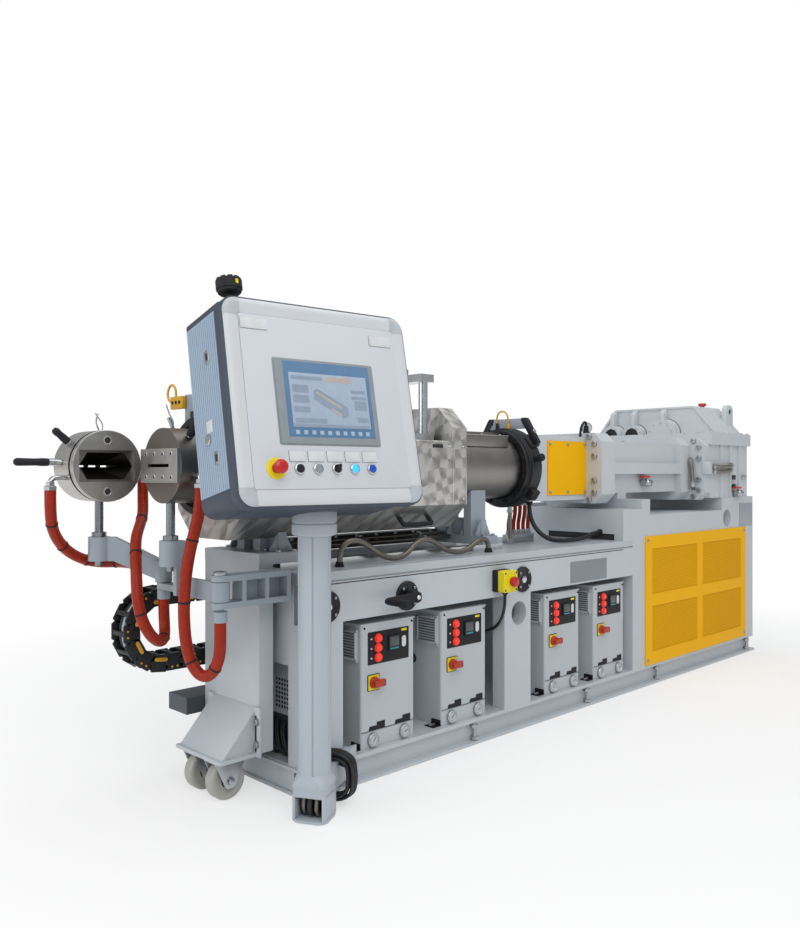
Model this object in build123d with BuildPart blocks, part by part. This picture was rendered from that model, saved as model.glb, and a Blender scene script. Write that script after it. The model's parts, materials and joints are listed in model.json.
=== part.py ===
"""Screw extruder on a welded base: barrel carriage on rails, hinged heads, gearbox and control stand.

Millimetres, +Z up. The origin is on the floor under the screw axis, half-way along the base.
+X runs from the heads to the gearbox, and the operator stands on the -Y side.
"""

import os
from math import cos, radians, sin, tan

from build123d import *

os.makedirs("parts", exist_ok=True)

# Base frame
base_length = 3310.0
base_width = 570.0
beam_height = 90.0
beam_lip = 10.0
beam_wall = 10.0
beam_depth = 60.0
web_inset = 24.0
floor_thickness = 4.0
bay_height = 453.0
corner_post_width = 155.0
bay_1_width = 842.0
mid_post_width = 170.0
bay_2_width = 801.0
post_depth = 60.0
panel_wall = 30.0
table_height = 715.0
table_thickness = 40.0
table_groove = 6.0
lifting_hole_radius = 47.5
lifting_hole_height = 468.0
lifting_hole_shift = 8.0
end_opening_height = 318.0
end_jamb_width = 31.0
chain_gate_width = 120.0

# Drive cabinet and guard door
deck_overhang = 84.0
deck_height = 861.0
pad_1_offset = 171.0
pad_1_length = 76.0
pad_1_height = 46.0
dip_length = 780.0
dip_depth = 31.0
pad_2_height = 38.0
deck_hole_offset = 63.0
deck_hole_drop = 78.0
deck_hole_depth = 60.0
door_length = 1123.0
door_height = 629.0
door_thickness = 6.0
door_border = 62.0
door_bar = 60.0
door_recess = 3.0
door_inset = 106.0
door_lift = 6.0

# Temperature control units
unit_width = 255.0
unit_rear_gap = 47.0
unit_height = 425.0
unit_setback = 23.0
unit_edge = 9.0
unit_skirt = 54.0
unit_seam = 3.0
bay_1_margins = (100.0, 88.0)
bay_2_margins = (130.0, 44.0)
gauge_radius = 24.0
gauge_depth = 9.0
gauge_inset = 52.0
switch_inset = 56.0
switch_drop = 202.0
switch_plate = 50.0
switch_plate_thickness = 3.0
switch_radius = 20.0
switch_depth = 18.0
lever_length = 44.0
lever_width = 14.0
lever_depth = 20.0
louvre_thickness = 6.0
louvre_length = 104.0
louvre_height = 110.0
running_gap = 0.4

# Screw line
axis_height = 1058.0
barrel_radius = 135.0
barrel_neck_radius = 95.0
barrel_bore = 46.0
barrel_length = 1622.0
barrel_end = -262.0
barrel_flange_radius = 118.0
barrel_flange_length = 40.0
barrel_bar_rise = 20.0
barrel_bar_width = 46.0
screw_clearance = 1.0
ring_radius = 178.0
ring_width = 99.0
ring_bore_clearance = 5.0
bridge_width = 50.0
bridge_angle = 62.0
bridge_rise = 45.0
bridge_half_width = 105.0
bridge_wall = 24.0
feed_length = 437.0
feed_half_width = 106.0
feed_half_height = 150.0
feed_gap = 5.0
throat_length = 160.0
throat_width = 90.0
throat_depth = 90.0
feed_guard_length = 306.0
feed_guard_height = 250.0
feed_guard_thickness = 6.0
thrust_flange_length = 114.0
thrust_flange_half_width = 200.0
thrust_flange_half_height = 169.0
thrust_flange_chamfer = 44.0
thrust_body_length = 682.0
thrust_body_half_width = 150.0
thrust_body_below = 122.0
thrust_body_above = 133.0
thrust_rib_reach = 36.0
thrust_rib_height = 54.0
thrust_plate_length = 96.0
thrust_plate_half_width = 190.0

# Gearbox
gear_flange_length = 66.0
gear_length = 462.0
gear_front = 275.0
gear_rear = 520.0
gear_split = 1257.0
gear_rim_height = 67.0
gear_rim_lip = 15.0
gear_top = 1415.0
gear_hood_inset = 112.0
gear_hood_length = 310.0
gear_shoulder = 126.0
gear_rib_width = 18.0
gear_rib_depth = 10.0
cap_length = 60.0
cap_places = ((49.0, 87.5), (237.0, 61.0), (376.0, 61.0))
valve_1_x = 640.0
valve_1_height = 984.0
valve_2_x = 1432.0
valve_2_height = 920.0
valve_reach = 50.0
valve_rise = 28.0
valve_radius = 14.0
valve_lever = 60.0
valve_lever_thickness = 5.0
end_cap_radius = 110.0
end_cap_length = 50.0

# Barrel carriage
rail_width = 44.0
rail_height = 25.0
rail_spread = 130.0
rail_gap = 0.3
stand_length = 93.0
stand_half_width = 162.0
stand_foot_height = 35.0
stand_web_height = 70.0
stand_arm_width = 40.0
stand_wall = 30.0
front_stand_offset = 209.0
rear_stand_offset = 1241.0
guard_front = 55.0
guard_length = 1043.0
guard_half_width = 198.0
guard_side_bottom = 145.0
guard_side_top = 97.0
guard_bottom = 237.0
guard_bottom_half_width = 105.0
guard_top = 101.0
guard_fold = 4.0
guard_wall = 3.0
portal_length = 82.0
portal_top = 235.0
portal_side_top = 153.0
portal_top_half_width = 119.0
column_setback = 139.0
column_thickness = 55.0
column_chain_gap = 5.0
column_bottom = 139.0
column_top = 660.0
head_beam_top = 742.0
bracket_height = 150.0
bracket_reach = 155.0
bracket_width = 250.0
bracket_shift = -25.0
bracket_wall = 12.0
wheel_radius = 62.5
wheel_width = 45.0
wheel_spread = 63.0
wheel_reach = 80.0
wheel_gap = 6.0
axle_radius = 8.0
fork_wall = 5.0
vent_post_radius = 18.0
vent_post_spread = 95.0
vent_place = 59.0
vent_plate_half_width = 120.0
vent_plate_length = 70.0
vent_top = 1420.0
vent_plate_thickness = 30.0
vent_rod_radius = 10.0
vent_rod_height = 27.0

# Hinged heads
head_radius = 118.0
head_seat_gap = 6.0
die_head_length = 108.0
die_plate_width = 250.0
die_plate_height = 106.0
die_plate_thickness = 12.0
die_slot_width = 130.0
die_slot_height = 10.0
strip_head_length = 150.0
strip_closing_gap = 8.0
strip_recess_width = 220.0
strip_recess_height = 110.0
strip_recess_depth = 30.0
arm_hinge_reach = 46.0
arm_hinge_offset = 67.0
strip_hinge_reach = 28.0
strip_hinge_y = 143.0
pin_radius = 12.0
pin_clearance = 0.3
hub_radius = 28.0
clevis_top = 730.0
clevis_bottom = 632.0
clevis_ear = 18.0
clevis_gap = 2.0
clevis_jaw = 60.0
clevis_web = 14.0
clevis_pocket = 44.0
pin_tail = 16.0
sleeve_radius = 35.0
sleeve_bottom = 743.0
sleeve_height = 80.0
stem_radius = 16.0
stem_reach = 83.0
arm_thickness = 20.0
arm_bar_height = 20.0
arm_bar_width = 44.0
strip_stem_reach = 65.0
strip_hub_bottom = 676.0
strip_hub_top = 745.0
strip_arm_thickness = 24.0
strip_arm_knee = 0.75
handle_radius = 13.0
handle_length = 150.0
handle_height = 12.0
lever_reach = 70.0
lever_angle = 40.0

# Control stand
console_centre = (-1765.0, -531.0, 1231.0)
console_yaw = -6.65
console_tilt = 11.6
console_width = 620.0
console_height = 588.0
console_depth = 242.0
console_frame = 40.0
console_corner = 46.0
console_inset = 7.0
door_panel_width = 526.0
door_panel_height = 490.0
door_panel_step = 4.0
pole_x = -1715.0
pole_y = -405.0
pole_radius = 50.0
collar_radius = 68.0
collar_bottom = 851.0
collar_top = 924.0
stand_foot_width = 128.0
stand_foot_top = 138.0
stand_arch_width = 60.0
stand_arch_height = 80.0
stand_arch_depth = 40.0
stand_beam_end = -1500.0
stand_beam_width = 65.0
stand_beam_bottom = 54.0
stand_beam_height = 82.0
beacon_radius = 37.0
beacon_height = 47.0
beacon_stem_radius = 14.0
beacon_stem_height = 47.0
beacon_side = -247.0
beacon_back = 60.0

# Hand controls, energy chain and hoses
shaft_height = 603.0
shaft_places = (-1570.0, -1207.0, -545.0)
crank_place = -1207.0
shaft_flange_radius = 52.0
shaft_flange_depth = 12.0
crank_hub_radius = 20.0
crank_hub_length = 48.0
crank_arm_length = 141.0
crank_grip_radius = 13.0
crank_grip_length = 95.0
stop_box_left = -735.0
stop_box_size = 85.0
stop_box_bottom = 570.0
stop_box_depth = 60.0
stop_button_radius = 20.0
stop_button_depth = 28.0
chain_inset = 2.0
chain_width = 93.0
chain_radius = 142.0
chain_band = 60.0
chain_middle = 507.0
chain_turn = -1887.0
chain_plate = 12.0
chain_bar = 16.0
chain_pitch = 56.0
tray_length = 159.0
tray_bottom = 211.0
tray_height = 57.0
hose_radius = 18.0
union_radius = 21.0
union_length = 34.0
port_reach = 60.0
elbow_reach = 70.0
elbow_radius = 14.0
cable_radius = 6.0
thick_cable_radius = 10.0
coil_cable_radius = 5.0
coil_distance = 112.0
coil_depth = 40.0
coil_near = 60.0
coil_far = 100.0
coil_near_wall = 22.0
coil_far_wall = 41.0
coil_top_wall = 45.0
coil_bottom = 4.0
coil_bottom_wall = 32.0
coil_outer_corner = 60.0
coil_inner_corner = 5.0
contact_gap = 0.4

# Routes of the hoses, with x from the front of the barrel, and of the cables
hose_1 = [(-339, 300, 982), (-339, 300, 912), (-319, 330, 845), (-268, 362, 784), (-202, 378, 745)]
hose_1 += [(-140, 378, 730), (-93, 352, 730), (-76, 306, 730), (-76, 262, 730)]
hose_2 = [(-21, 300, 1012), (-21, 300, 950), (-34, 273, 897), (-66, 232, 862), (-104, 188, 824)]
hose_2 += [(-128, 142, 766), (-148, 98, 704), (-158, 72, 635), (-147, 60, 567), (-115, 60, 514)]
hose_2 += [(-73, 80, 490), (-41, 112, 500), (-28, 138, 537), (-28, 143, 580), (-28, 143, 620)]
hose_3 = [(-61, -140, 992), (-61, -140, 930), (-78, -136, 860), (-95, -128, 780)]
hose_3 += [(-103, -120, 695), (-103, -114, 605), (-96, -114, 520), (-84, -124, 460)]
hose_3 += [(-70, -146, 424), (-58, -176, 420), (-50, -206, 446)]
hose_3 += [(-46, -225, 492), (-46, -227, 542), (-46, -227, 590)]
stop_cable = [(-692, -315, 560), (-692, -315, 524), (-690, -306, 484), (-684, -284, 448), (-674, -252, 420)]
stop_cable += [(-672, -214, 402), (-684, -180, 392), (-710, -160, 388), (-746, -160, 388)]
table_cable = [(-1440, -196, 715), (-1440, -196, 760), (-1416, -197, 796), (-1364, -200, 804)]
table_cable += [(-1308, -206, 776), (-1256, -212, 740), (-1194, -214, 726), (-1132, -211, 738)]
table_cable += [(-1082, -204, 774), (-1024, -200, 790), (-964, -203, 770), (-914, -208, 738)]
table_cable += [(-848, -210, 726), (-790, -210, 736), (-738, -208, 764), (-690, -206, 772)]
table_cable += [(-660, -204, 755), (-660, -204, 715)]
ring_cable = [(-200, -60, 908), (-200, -60, 862), (-206, -84, 806), (-196, -124, 758), (-156, -156, 732)]
ring_cable += [(-84, -170, 728), (8, -172, 728), (98, -168, 734), (166, -160, 750), (229, -160, 750)]
coil_lead = [(-1640, -309, 150), (-1640, -309, 192), (-1640, -285, 192)]

# Places worked out from the sizes above
left = -base_length / 2
right = base_length / 2
front = -base_width / 2
rear = base_width / 2
floor_top = beam_height + floor_thickness
bay_top = floor_top + bay_height
table_bottom = table_height - table_thickness
bay_1_start = left + corner_post_width
bay_1_end = bay_1_start + bay_1_width
bay_2_start = bay_1_end + mid_post_width
bay_2_end = bay_2_start + bay_2_width
barrel_start = barrel_end - barrel_length
column_front = barrel_start + column_setback
column_half_width = rear - chain_gate_width - column_chain_gap
arm_hinge_y = -column_half_width - arm_hinge_offset
arm_hinge_x = barrel_start - arm_hinge_reach
strip_hinge_x = barrel_start - strip_hinge_reach
stem_x = barrel_start - stem_reach
hose_1 = [(x + barrel_start, y, z) for x, y, z in hose_1]
hose_2 = [(x + barrel_start, y, z) for x, y, z in hose_2]
hose_3 = [(x + barrel_start, y, z) for x, y, z in hose_3]
unit_front = front + unit_setback
unit_top = floor_top + unit_height
unit_depth = base_width - unit_setback - panel_wall - unit_rear_gap
unit_starts = [bay_1_start + bay_1_margins[0], bay_1_end - bay_1_margins[1] - unit_width]
unit_starts += [bay_2_start + bay_2_margins[0], bay_2_end - bay_2_margins[1] - unit_width]


def block(x, y, z, mode=Mode.ADD):
    """Adds a box between the (low, high) limits along each axis to the active part."""
    with Locations(((x[0] + x[1]) / 2, (y[0] + y[1]) / 2, (z[0] + z[1]) / 2)):
        Box(x[1] - x[0], y[1] - y[0], z[1] - z[0], mode=mode)


def rod(start, end, radius, mode=Mode.ADD):
    """Adds a round bar from one point to another to the active part."""
    axis = Vector(end) - Vector(start)
    with Locations(Plane(origin=start, z_dir=axis)):
        Cylinder(radius, axis.length, align=(Align.CENTER, Align.CENTER, Align.MIN), mode=mode)


def shaft(x0, x1, radius, mode=Mode.ADD):
    """Adds a round bar on the screw axis from x0 to x1 to the active part."""
    rod((x0, 0, axis_height), (x1, 0, axis_height), radius, mode)


def across(points, y0, y1, mode=Mode.ADD):
    """Adds a prism of an (x, z) outline from y0 to y1 to the active part."""
    with BuildSketch(Plane((0, y0, 0), x_dir=(1, 0, 0), z_dir=(0, -1, 0))) as outline:
        with BuildLine():
            Polyline(*points, close=True)
        make_face()
    extrude(outline.sketch, amount=y0 - y1, mode=mode)


def along(points, x0, x1, mode=Mode.ADD):
    """Adds a prism of a (y, z) outline from x0 to x1 to the active part."""
    with BuildSketch(Plane((x0, 0, 0), x_dir=(0, 1, 0), z_dir=(1, 0, 0))) as outline:
        with BuildLine():
            Polyline(*points, close=True)
        make_face()
    extrude(outline.sketch, amount=x1 - x0, mode=mode)


def bevelled(half_width, half_height, bevel):
    """Corners of a bevelled rectangle round the screw axis, as (y, z)."""
    a, b = half_width, half_height
    corners = [(a, b - bevel), (a - bevel, b), (bevel - a, b), (-a, b - bevel)]
    corners += [(-a, bevel - b), (bevel - a, -b), (a - bevel, -b), (a, bevel - b)]
    return [(y, axis_height + z) for y, z in corners]


def keep(builder, name):
    """Labels a finished piece and writes it as one STEP file."""
    builder.part.label = name
    export_step(builder.part, f"parts/{name}.step")


def elbow(end, reach):
    """Adds the elbow that a hose hangs from: a stub from the head and a short upright ferrule."""
    tip = Vector(end)
    corner = tip + (0, 0, union_length / 2)
    rod(tip, tip + (0, 0, union_length), union_radius)
    rod(corner, corner + reach, elbow_radius)


def cord(points, radius):
    """Tube of straight runs and wide arcs along a route, and the tightest radius of its arcs."""
    route = [Vector(*point) for point in points]
    runs = [b - a for a, b in zip(route, route[1:])]
    radii = []
    for before, after in zip(runs, runs[1:]):
        shorter = min(before.length, after.length)
        radii.append(0.45 * shorter / tan(radians(before.get_angle(after) / 2)))
    with BuildPart() as tube:
        with BuildLine():
            FilletPolyline(*route, radius=radii)
        with BuildSketch(Plane(route[0], z_dir=runs[0])):
            Circle(radius)
        sweep()
    return tube, min(radii)


# Floor beams, cross beams and floor plate
def channel(outer, side):
    """Outline of a floor channel that opens outwards at the face outer, as (y, z)."""
    lip, inner = outer - side * beam_lip, outer + side * beam_depth
    web, back = outer + side * web_inset, outer + side * (web_inset + beam_wall)
    top = beam_height - beam_wall
    lower = [(lip, 0), (inner, 0), (inner, beam_wall), (back, beam_wall)]
    upper = [(back, top), (inner, top), (inner, beam_height), (outer, beam_height), (outer, top)]
    return lower + upper + [(web, top), (web, beam_wall), (lip, beam_wall)]


with BuildPart() as floor_beams:
    along(channel(front, 1), left, right)
    along(channel(rear, -1), left, right)
keep(floor_beams, "floor_beams")

with BuildPart() as cross_beams:
    for place in (left, bay_1_end, -beam_depth / 2, bay_2_end, right - beam_depth):
        block((place, place + beam_depth), (front + beam_depth, rear - beam_depth), (0, beam_height))
keep(cross_beams, "cross_beams")

with BuildPart() as floor_plate:
    block((left, bay_2_end), (front, rear), (beam_height, floor_top))
keep(floor_plate, "floor_plate")

# Posts, apron and panels of the base
with BuildPart() as front_posts:
    block((left, bay_1_start), (front, front + post_depth), (floor_top, bay_top))
    block((bay_1_end, bay_2_start), (front, front + post_depth), (floor_top, bay_top))
    hole_x = (bay_1_end + bay_2_start) / 2 + lifting_hole_shift
    hole_ends = [(hole_x, y, lifting_hole_height) for y in (front, front + post_depth)]
    rod(*hole_ends, lifting_hole_radius, mode=Mode.SUBTRACT)
keep(front_posts, "front_posts")

with BuildPart() as front_apron:
    block((left, bay_2_end), (front, front + panel_wall), (bay_top, table_bottom))
keep(front_apron, "front_apron")

with BuildPart() as rear_panel:
    block((left, bay_2_end), (rear - panel_wall, rear), (floor_top, table_bottom))
keep(rear_panel, "rear_panel")

with BuildPart() as end_panel:
    near = front + post_depth
    opening_top = floor_top + end_opening_height
    block((left, left + panel_wall), (near, near + end_jamb_width), (floor_top, opening_top))
    block((left, left + panel_wall), (near, rear - chain_gate_width), (opening_top, table_bottom))
keep(end_panel, "end_panel")

with BuildPart() as table_top:
    block((left, bay_2_end), (front, rear), (table_bottom, table_height))
    groove = (table_bottom + table_groove, table_bottom + 2 * table_groove)
    block((left, bay_2_end), (front, front + table_groove), groove, mode=Mode.SUBTRACT)
keep(table_top, "table_top")

# Drive cabinet with its stepped deck, and the guard door with four sunk panes
deck_start = bay_2_end - deck_overhang
pad_1_start = deck_start + pad_1_offset
pad_1_end = pad_1_start + pad_1_length
dip_end = pad_1_end + dip_length
pad_1_top = deck_height + pad_1_height
pad_2_top = deck_height + pad_2_height
dip_bottom = deck_height - dip_depth
cabinet_outline = [(bay_2_end, beam_height), (bay_2_end, table_height), (deck_start, table_height)]
cabinet_outline += [(deck_start, deck_height), (pad_1_start, deck_height), (pad_1_start, pad_1_top)]
cabinet_outline += [(pad_1_end, pad_1_top), (pad_1_end, dip_bottom), (dip_end, dip_bottom)]
cabinet_outline += [(dip_end, pad_2_top), (right, pad_2_top), (right, beam_height)]
with BuildPart() as drive_cabinet:
    across(cabinet_outline, front, rear)
    deck_hole = (dip_end + deck_hole_offset, deck_height - deck_hole_drop)
    hole_ends = [(deck_hole[0], y, deck_hole[1]) for y in (front, front + deck_hole_depth)]
    rod(*hole_ends, lifting_hole_radius, mode=Mode.SUBTRACT)
keep(drive_cabinet, "drive_cabinet")

door_end = right - door_inset
door_start = door_end - door_length
door_bottom = beam_height + door_lift
pane_length = (door_length - 2 * door_border - door_bar) / 2
pane_height = (door_height - 2 * door_border - door_bar) / 2
with BuildPart() as guard_door:
    outside = front - door_thickness
    block((door_start, door_end), (outside, front), (door_bottom, door_bottom + door_height))
    for column in range(2):
        for row in range(2):
            x = door_start + door_border + column * (pane_length + door_bar)
            z = door_bottom + door_border + row * (pane_height + door_bar)
            pane = ((x, x + pane_length), (outside, outside + door_recess), (z, z + pane_height))
            block(*pane, mode=Mode.SUBTRACT)
keep(guard_door, "guard_door")


# Temperature control units, each with a lever switch that turns on its front
def temperature_unit(start):
    """Cabinet of one unit with its gauges, side louvre and switch plate."""
    end = start + unit_width
    with BuildPart() as unit:
        block((start, end), (unit_front, unit_front + unit_depth), (floor_top, unit_top))
        fillet(unit.edges().filter_by(Axis.Z), unit_edge)
        seam = floor_top + unit_skirt
        groove = ((unit_front, unit_front + unit_seam), (seam, seam + unit_seam))
        block((start, end), *groove, mode=Mode.SUBTRACT)
        for x in (start + gauge_inset, end - gauge_inset):
            z = floor_top + unit_skirt / 2
            rod((x, unit_front, z), (x, unit_front - gauge_depth, z), gauge_radius)
        x, z = start + switch_inset, unit_top - switch_drop
        half = switch_plate / 2
        plate = (unit_front - switch_plate_thickness, unit_front)
        block((x - half, x + half), plate, (z - half, z + half))
        y, top = unit_front + 2 * unit_edge, unit_top - 2 * unit_edge
        block((start - louvre_thickness, start), (y, y + louvre_length), (top - louvre_height, top))
    return unit


def isolator_handle(start):
    """Round switch head with a lever that points to the right."""
    x, z = start + switch_inset, unit_top - switch_drop
    back = unit_front - switch_plate_thickness - running_gap
    face = back - switch_depth
    with BuildPart() as handle:
        rod((x, back, z), (x, face, z), switch_radius)
        half_depth, half_width = lever_depth / 2, lever_width / 2
        grip = ((face - half_depth, face + half_depth), (z - half_width, z + half_width))
        block((x, x + lever_length), *grip)
    return handle


for number, start in enumerate(unit_starts, 1):
    keep(temperature_unit(start), f"temperature_unit_{number}")
    keep(isolator_handle(start), f"isolator_handle_{number}")

# Feed housing with its throat, clamp ring and guard plate
ring_start = barrel_end + feed_gap - ring_width
feed_start = barrel_end + feed_gap
feed_end = feed_start + feed_length
feed_top = axis_height + feed_half_height
with BuildPart() as feed_housing:
    sides = (-feed_half_width, feed_half_width)
    block((feed_start, feed_end), sides, (axis_height - feed_half_height, feed_top))
    middle = feed_start + feed_length / 2
    throat = (middle - throat_length / 2, middle + throat_length / 2)
    throat_sides = (-throat_width / 2, throat_width / 2)
    block(throat, throat_sides, (feed_top - throat_depth, feed_top), mode=Mode.SUBTRACT)
keep(feed_housing, "feed_housing")

with BuildPart() as feed_guard:
    half = feed_guard_height / 2
    sheet = (-feed_half_width - feed_guard_thickness, -feed_half_width)
    block((feed_end - feed_guard_length, feed_end), sheet, (axis_height - half, axis_height + half))
keep(feed_guard, "feed_guard")

with BuildPart() as clamp_ring:
    shaft(ring_start, feed_start, ring_radius)
    shaft(ring_start, feed_start, barrel_radius + ring_bore_clearance, mode=Mode.SUBTRACT)
keep(clamp_ring, "clamp_ring")

# Thrust housing: one casting from the feed flange to the gearbox plate
thrust_body_start = feed_end + thrust_flange_length
thrust_body_end = thrust_body_start + thrust_body_length
thrust_end = thrust_body_end + thrust_plate_length
with BuildPart() as thrust_housing:
    flange = bevelled(thrust_flange_half_width, thrust_flange_half_height, thrust_flange_chamfer)
    along(flange, feed_end, thrust_body_start)
    plate = bevelled(thrust_plate_half_width, thrust_flange_half_height, thrust_flange_chamfer)
    along(plate, thrust_body_end, thrust_end)
    body = (thrust_body_start, thrust_body_end)
    half = thrust_body_half_width
    block(body, (-half, half), (axis_height - thrust_body_below, axis_height + thrust_body_above))
    rib = half + thrust_rib_reach
    block(body, (-rib, rib), (axis_height - thrust_rib_height / 2, axis_height + thrust_rib_height / 2))
    block((pad_1_start, pad_1_end), (-half, half), (pad_1_top, axis_height - thrust_body_below))
keep(thrust_housing, "thrust_housing")

# Gearbox: lower housing with the input flange, and a hood on the split rim
gear_start = thrust_end + gear_flange_length
gear_end = gear_start + gear_length
rim_bottom = gear_split - gear_rim_height
with BuildPart() as gearbox_housing:
    along(bevelled(gear_front, thrust_flange_half_height, thrust_flange_chamfer), thrust_end, gear_start)
    block((gear_start, gear_end), (-gear_front, gear_rear), (pad_2_top, gear_split))
    lip = gear_rim_lip
    rim_sides = (-gear_front - lip, gear_rear + lip)
    block((gear_start - lip, gear_end + lip), rim_sides, (rim_bottom, gear_split))
    for share in (1, 2, 3):
        x = gear_start + share * gear_length / 4
        block((x - gear_rib_width / 2, x + gear_rib_width / 2), (-gear_front - gear_rib_depth, -gear_front),
              (pad_2_top, rim_bottom))
    rod((gear_end, 0, axis_height), (gear_end + end_cap_length, 0, axis_height), end_cap_radius)
keep(gearbox_housing, "gearbox_housing")

hood_start = gear_start + gear_hood_inset
hood_end = hood_start + gear_hood_length
with BuildPart() as gearbox_cover:
    hood = [(-gear_front + gear_rim_lip, gear_split), (-gear_shoulder, gear_top)]
    hood += [(gear_rear - gear_shoulder - gear_rim_lip, gear_top), (gear_rear - gear_rim_lip, gear_split)]
    along(hood, hood_start, hood_end)
    for y, radius in cap_places:
        with BuildSketch(Plane((hood_start, y, gear_split), x_dir=(0, 1, 0), z_dir=(1, 0, 0))) as half_disc:
            Circle(radius)
            Rectangle(2 * radius, radius, align=(Align.CENTER, Align.MAX), mode=Mode.SUBTRACT)
        extrude(half_disc.sketch, amount=-cap_length)
keep(gearbox_cover, "gearbox_cover")

# Barrel with a slimmer front part, and the screw inside it
guard_start = barrel_start + guard_front
guard_end = guard_start + guard_length
portal_start = guard_end - portal_length
with BuildPart() as barrel:
    shaft(barrel_start, barrel_end, barrel_neck_radius)
    shaft(portal_start + guard_wall, barrel_end, barrel_radius)
    shaft(barrel_start, barrel_start + barrel_flange_length, barrel_flange_radius)
    bar_top = axis_height + barrel_radius + barrel_bar_rise
    bar_sides = (-barrel_bar_width / 2, barrel_bar_width / 2)
    block((guard_end, ring_start - head_seat_gap), bar_sides, (axis_height, bar_top))
    shaft(barrel_start, barrel_end, barrel_bore, mode=Mode.SUBTRACT)
keep(barrel, "barrel")

with BuildPart() as screw:
    shaft(barrel_start + barrel_flange_length, feed_start, barrel_bore - screw_clearance)
keep(screw, "screw")

# Rails, stands and the sheet guard round the barrel
rail_top = table_height + rail_height
front_stand_start = barrel_start + front_stand_offset
rear_stand_start = barrel_start + rear_stand_offset
with BuildPart() as guide_rails:
    for y in (-rail_spread, rail_spread):
        rail_end = rear_stand_start + stand_length + rail_width
        block((left, rail_end), (y - rail_width / 2, y + rail_width / 2), (table_height, rail_top))
keep(guide_rails, "guide_rails")


def barrel_stand(x0, cradle):
    """Stand under the barrel: a foot on the rails and a web with two arms that cradle the radius given."""
    x1 = x0 + stand_length
    foot = rail_top + rail_gap
    foot_top = foot + stand_foot_height
    reach = cradle * cos(radians(45))
    web = (x0 + (stand_length - stand_wall) / 2, x0 + (stand_length + stand_wall) / 2)
    with BuildPart() as stand:
        block((x0, x1), (-stand_half_width, stand_half_width), (foot, foot_top))
        block(web, (-reach, reach), (foot_top, foot_top + stand_web_height))
        block((x0, x1), (-reach, stand_arm_width - reach), (foot_top, axis_height - reach))
        block((x0, x1), (reach - stand_arm_width, reach), (foot_top, axis_height - reach))
        shaft(x0, x1, cradle, mode=Mode.SUBTRACT)
    return stand


keep(barrel_stand(front_stand_start, barrel_neck_radius), "front_stand")
keep(barrel_stand(rear_stand_start, barrel_radius), "rear_stand")


def hood(half_width, low, high, top_half_width, top, wall):
    """Outline of an open-bottomed hood round the barrel as (y, z), inset by a wall."""
    side = half_width - wall
    points = [(wall - guard_bottom_half_width, -guard_bottom), (-side, -low), (-side, high - wall)]
    points += [(wall - top_half_width, top - wall)]
    points += [(-y, z) for y, z in reversed(points)]
    return [(y, axis_height + z) for y, z in points]


low_hood = (guard_half_width, guard_side_bottom, guard_side_top, guard_half_width - guard_fold, guard_top)
portal_hood = (guard_half_width, guard_side_bottom, portal_side_top, portal_top_half_width, portal_top)
with BuildPart() as barrel_guard:
    along(hood(*low_hood, 0), guard_start, guard_end)
    along(hood(*portal_hood, 0), portal_start, guard_end)
    step = portal_start + guard_wall
    along(hood(*low_hood, guard_wall), guard_start + guard_wall, step, mode=Mode.SUBTRACT)
    along(hood(*portal_hood, guard_wall), step, guard_end - guard_wall, mode=Mode.SUBTRACT)
    shaft(guard_start, step, barrel_neck_radius, mode=Mode.SUBTRACT)
    shaft(step, guard_end, barrel_radius, mode=Mode.SUBTRACT)
keep(barrel_guard, "barrel_guard")

# Vent unit on the guard: two plates, two posts and a rod
guard_roof = axis_height + guard_top
vent_x = portal_start - vent_place
half_plate = vent_plate_length / 2
with BuildPart() as vent_unit:
    plate = ((vent_x - half_plate, vent_x + half_plate), (-vent_plate_half_width, vent_plate_half_width))
    block(*plate, (guard_roof, guard_roof + vent_plate_thickness))
    block(*plate, (vent_top - vent_plate_thickness, vent_top))
    for y in (-vent_post_spread, vent_post_spread):
        rod((vent_x, y, guard_roof), (vent_x, y, vent_top), vent_post_radius)
    rod((vent_x, 0, guard_roof), (vent_x, 0, vent_top + vent_rod_height), vent_rod_radius)
keep(vent_unit, "vent_unit")

# Front column with its head beam, caster bracket and wheels
column_back = column_front + column_thickness
beam_tie = front_stand_start
with BuildPart() as support_column:
    block((column_front, column_back), (-column_half_width, column_half_width), (column_bottom, column_top))
    head_beam = (rail_top + rail_gap, head_beam_top + stand_foot_height)
    block((column_front, beam_tie), (-stand_half_width, stand_half_width), head_beam)
    block((column_front, column_back), (-column_half_width, column_half_width), (column_top, head_beam_top))
keep(support_column, "support_column")

wheel_x = column_front - wheel_reach
wheel_places = [bracket_shift - wheel_spread, bracket_shift + wheel_spread]
bracket_low = 2 * wheel_radius + wheel_gap
with BuildPart() as caster_bracket:
    y0, y1 = bracket_shift - bracket_width / 2, bracket_shift + bracket_width / 2
    tip = column_front - bracket_reach
    wedge = [(column_front, bracket_low), (tip, bracket_low), (tip, bracket_low + bracket_wall)]
    wedge += [(column_front, bracket_low + bracket_height)]
    across(wedge, y0, y1)
    for y in wheel_places:
        reach = wheel_width / 2 + wheel_gap
        for low in (y - reach - fork_wall, y + reach):
            block((wheel_x - 2 * axle_radius, wheel_x + 2 * axle_radius), (low, low + fork_wall),
                  (wheel_radius - 2 * axle_radius, bracket_low))
        rod((wheel_x, y - reach, wheel_radius), (wheel_x, y + reach, wheel_radius), axle_radius)
keep(caster_bracket, "caster_bracket")

for y, name in zip(wheel_places, ("caster_wheel_near", "caster_wheel_far")):
    with BuildPart() as wheel:
        ends = [(wheel_x, y + side * wheel_width / 2, wheel_radius) for side in (-1, 1)]
        rod(*ends, wheel_radius)
        rod(*ends, axle_radius + pin_clearance, mode=Mode.SUBTRACT)
    keep(wheel, name)

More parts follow.
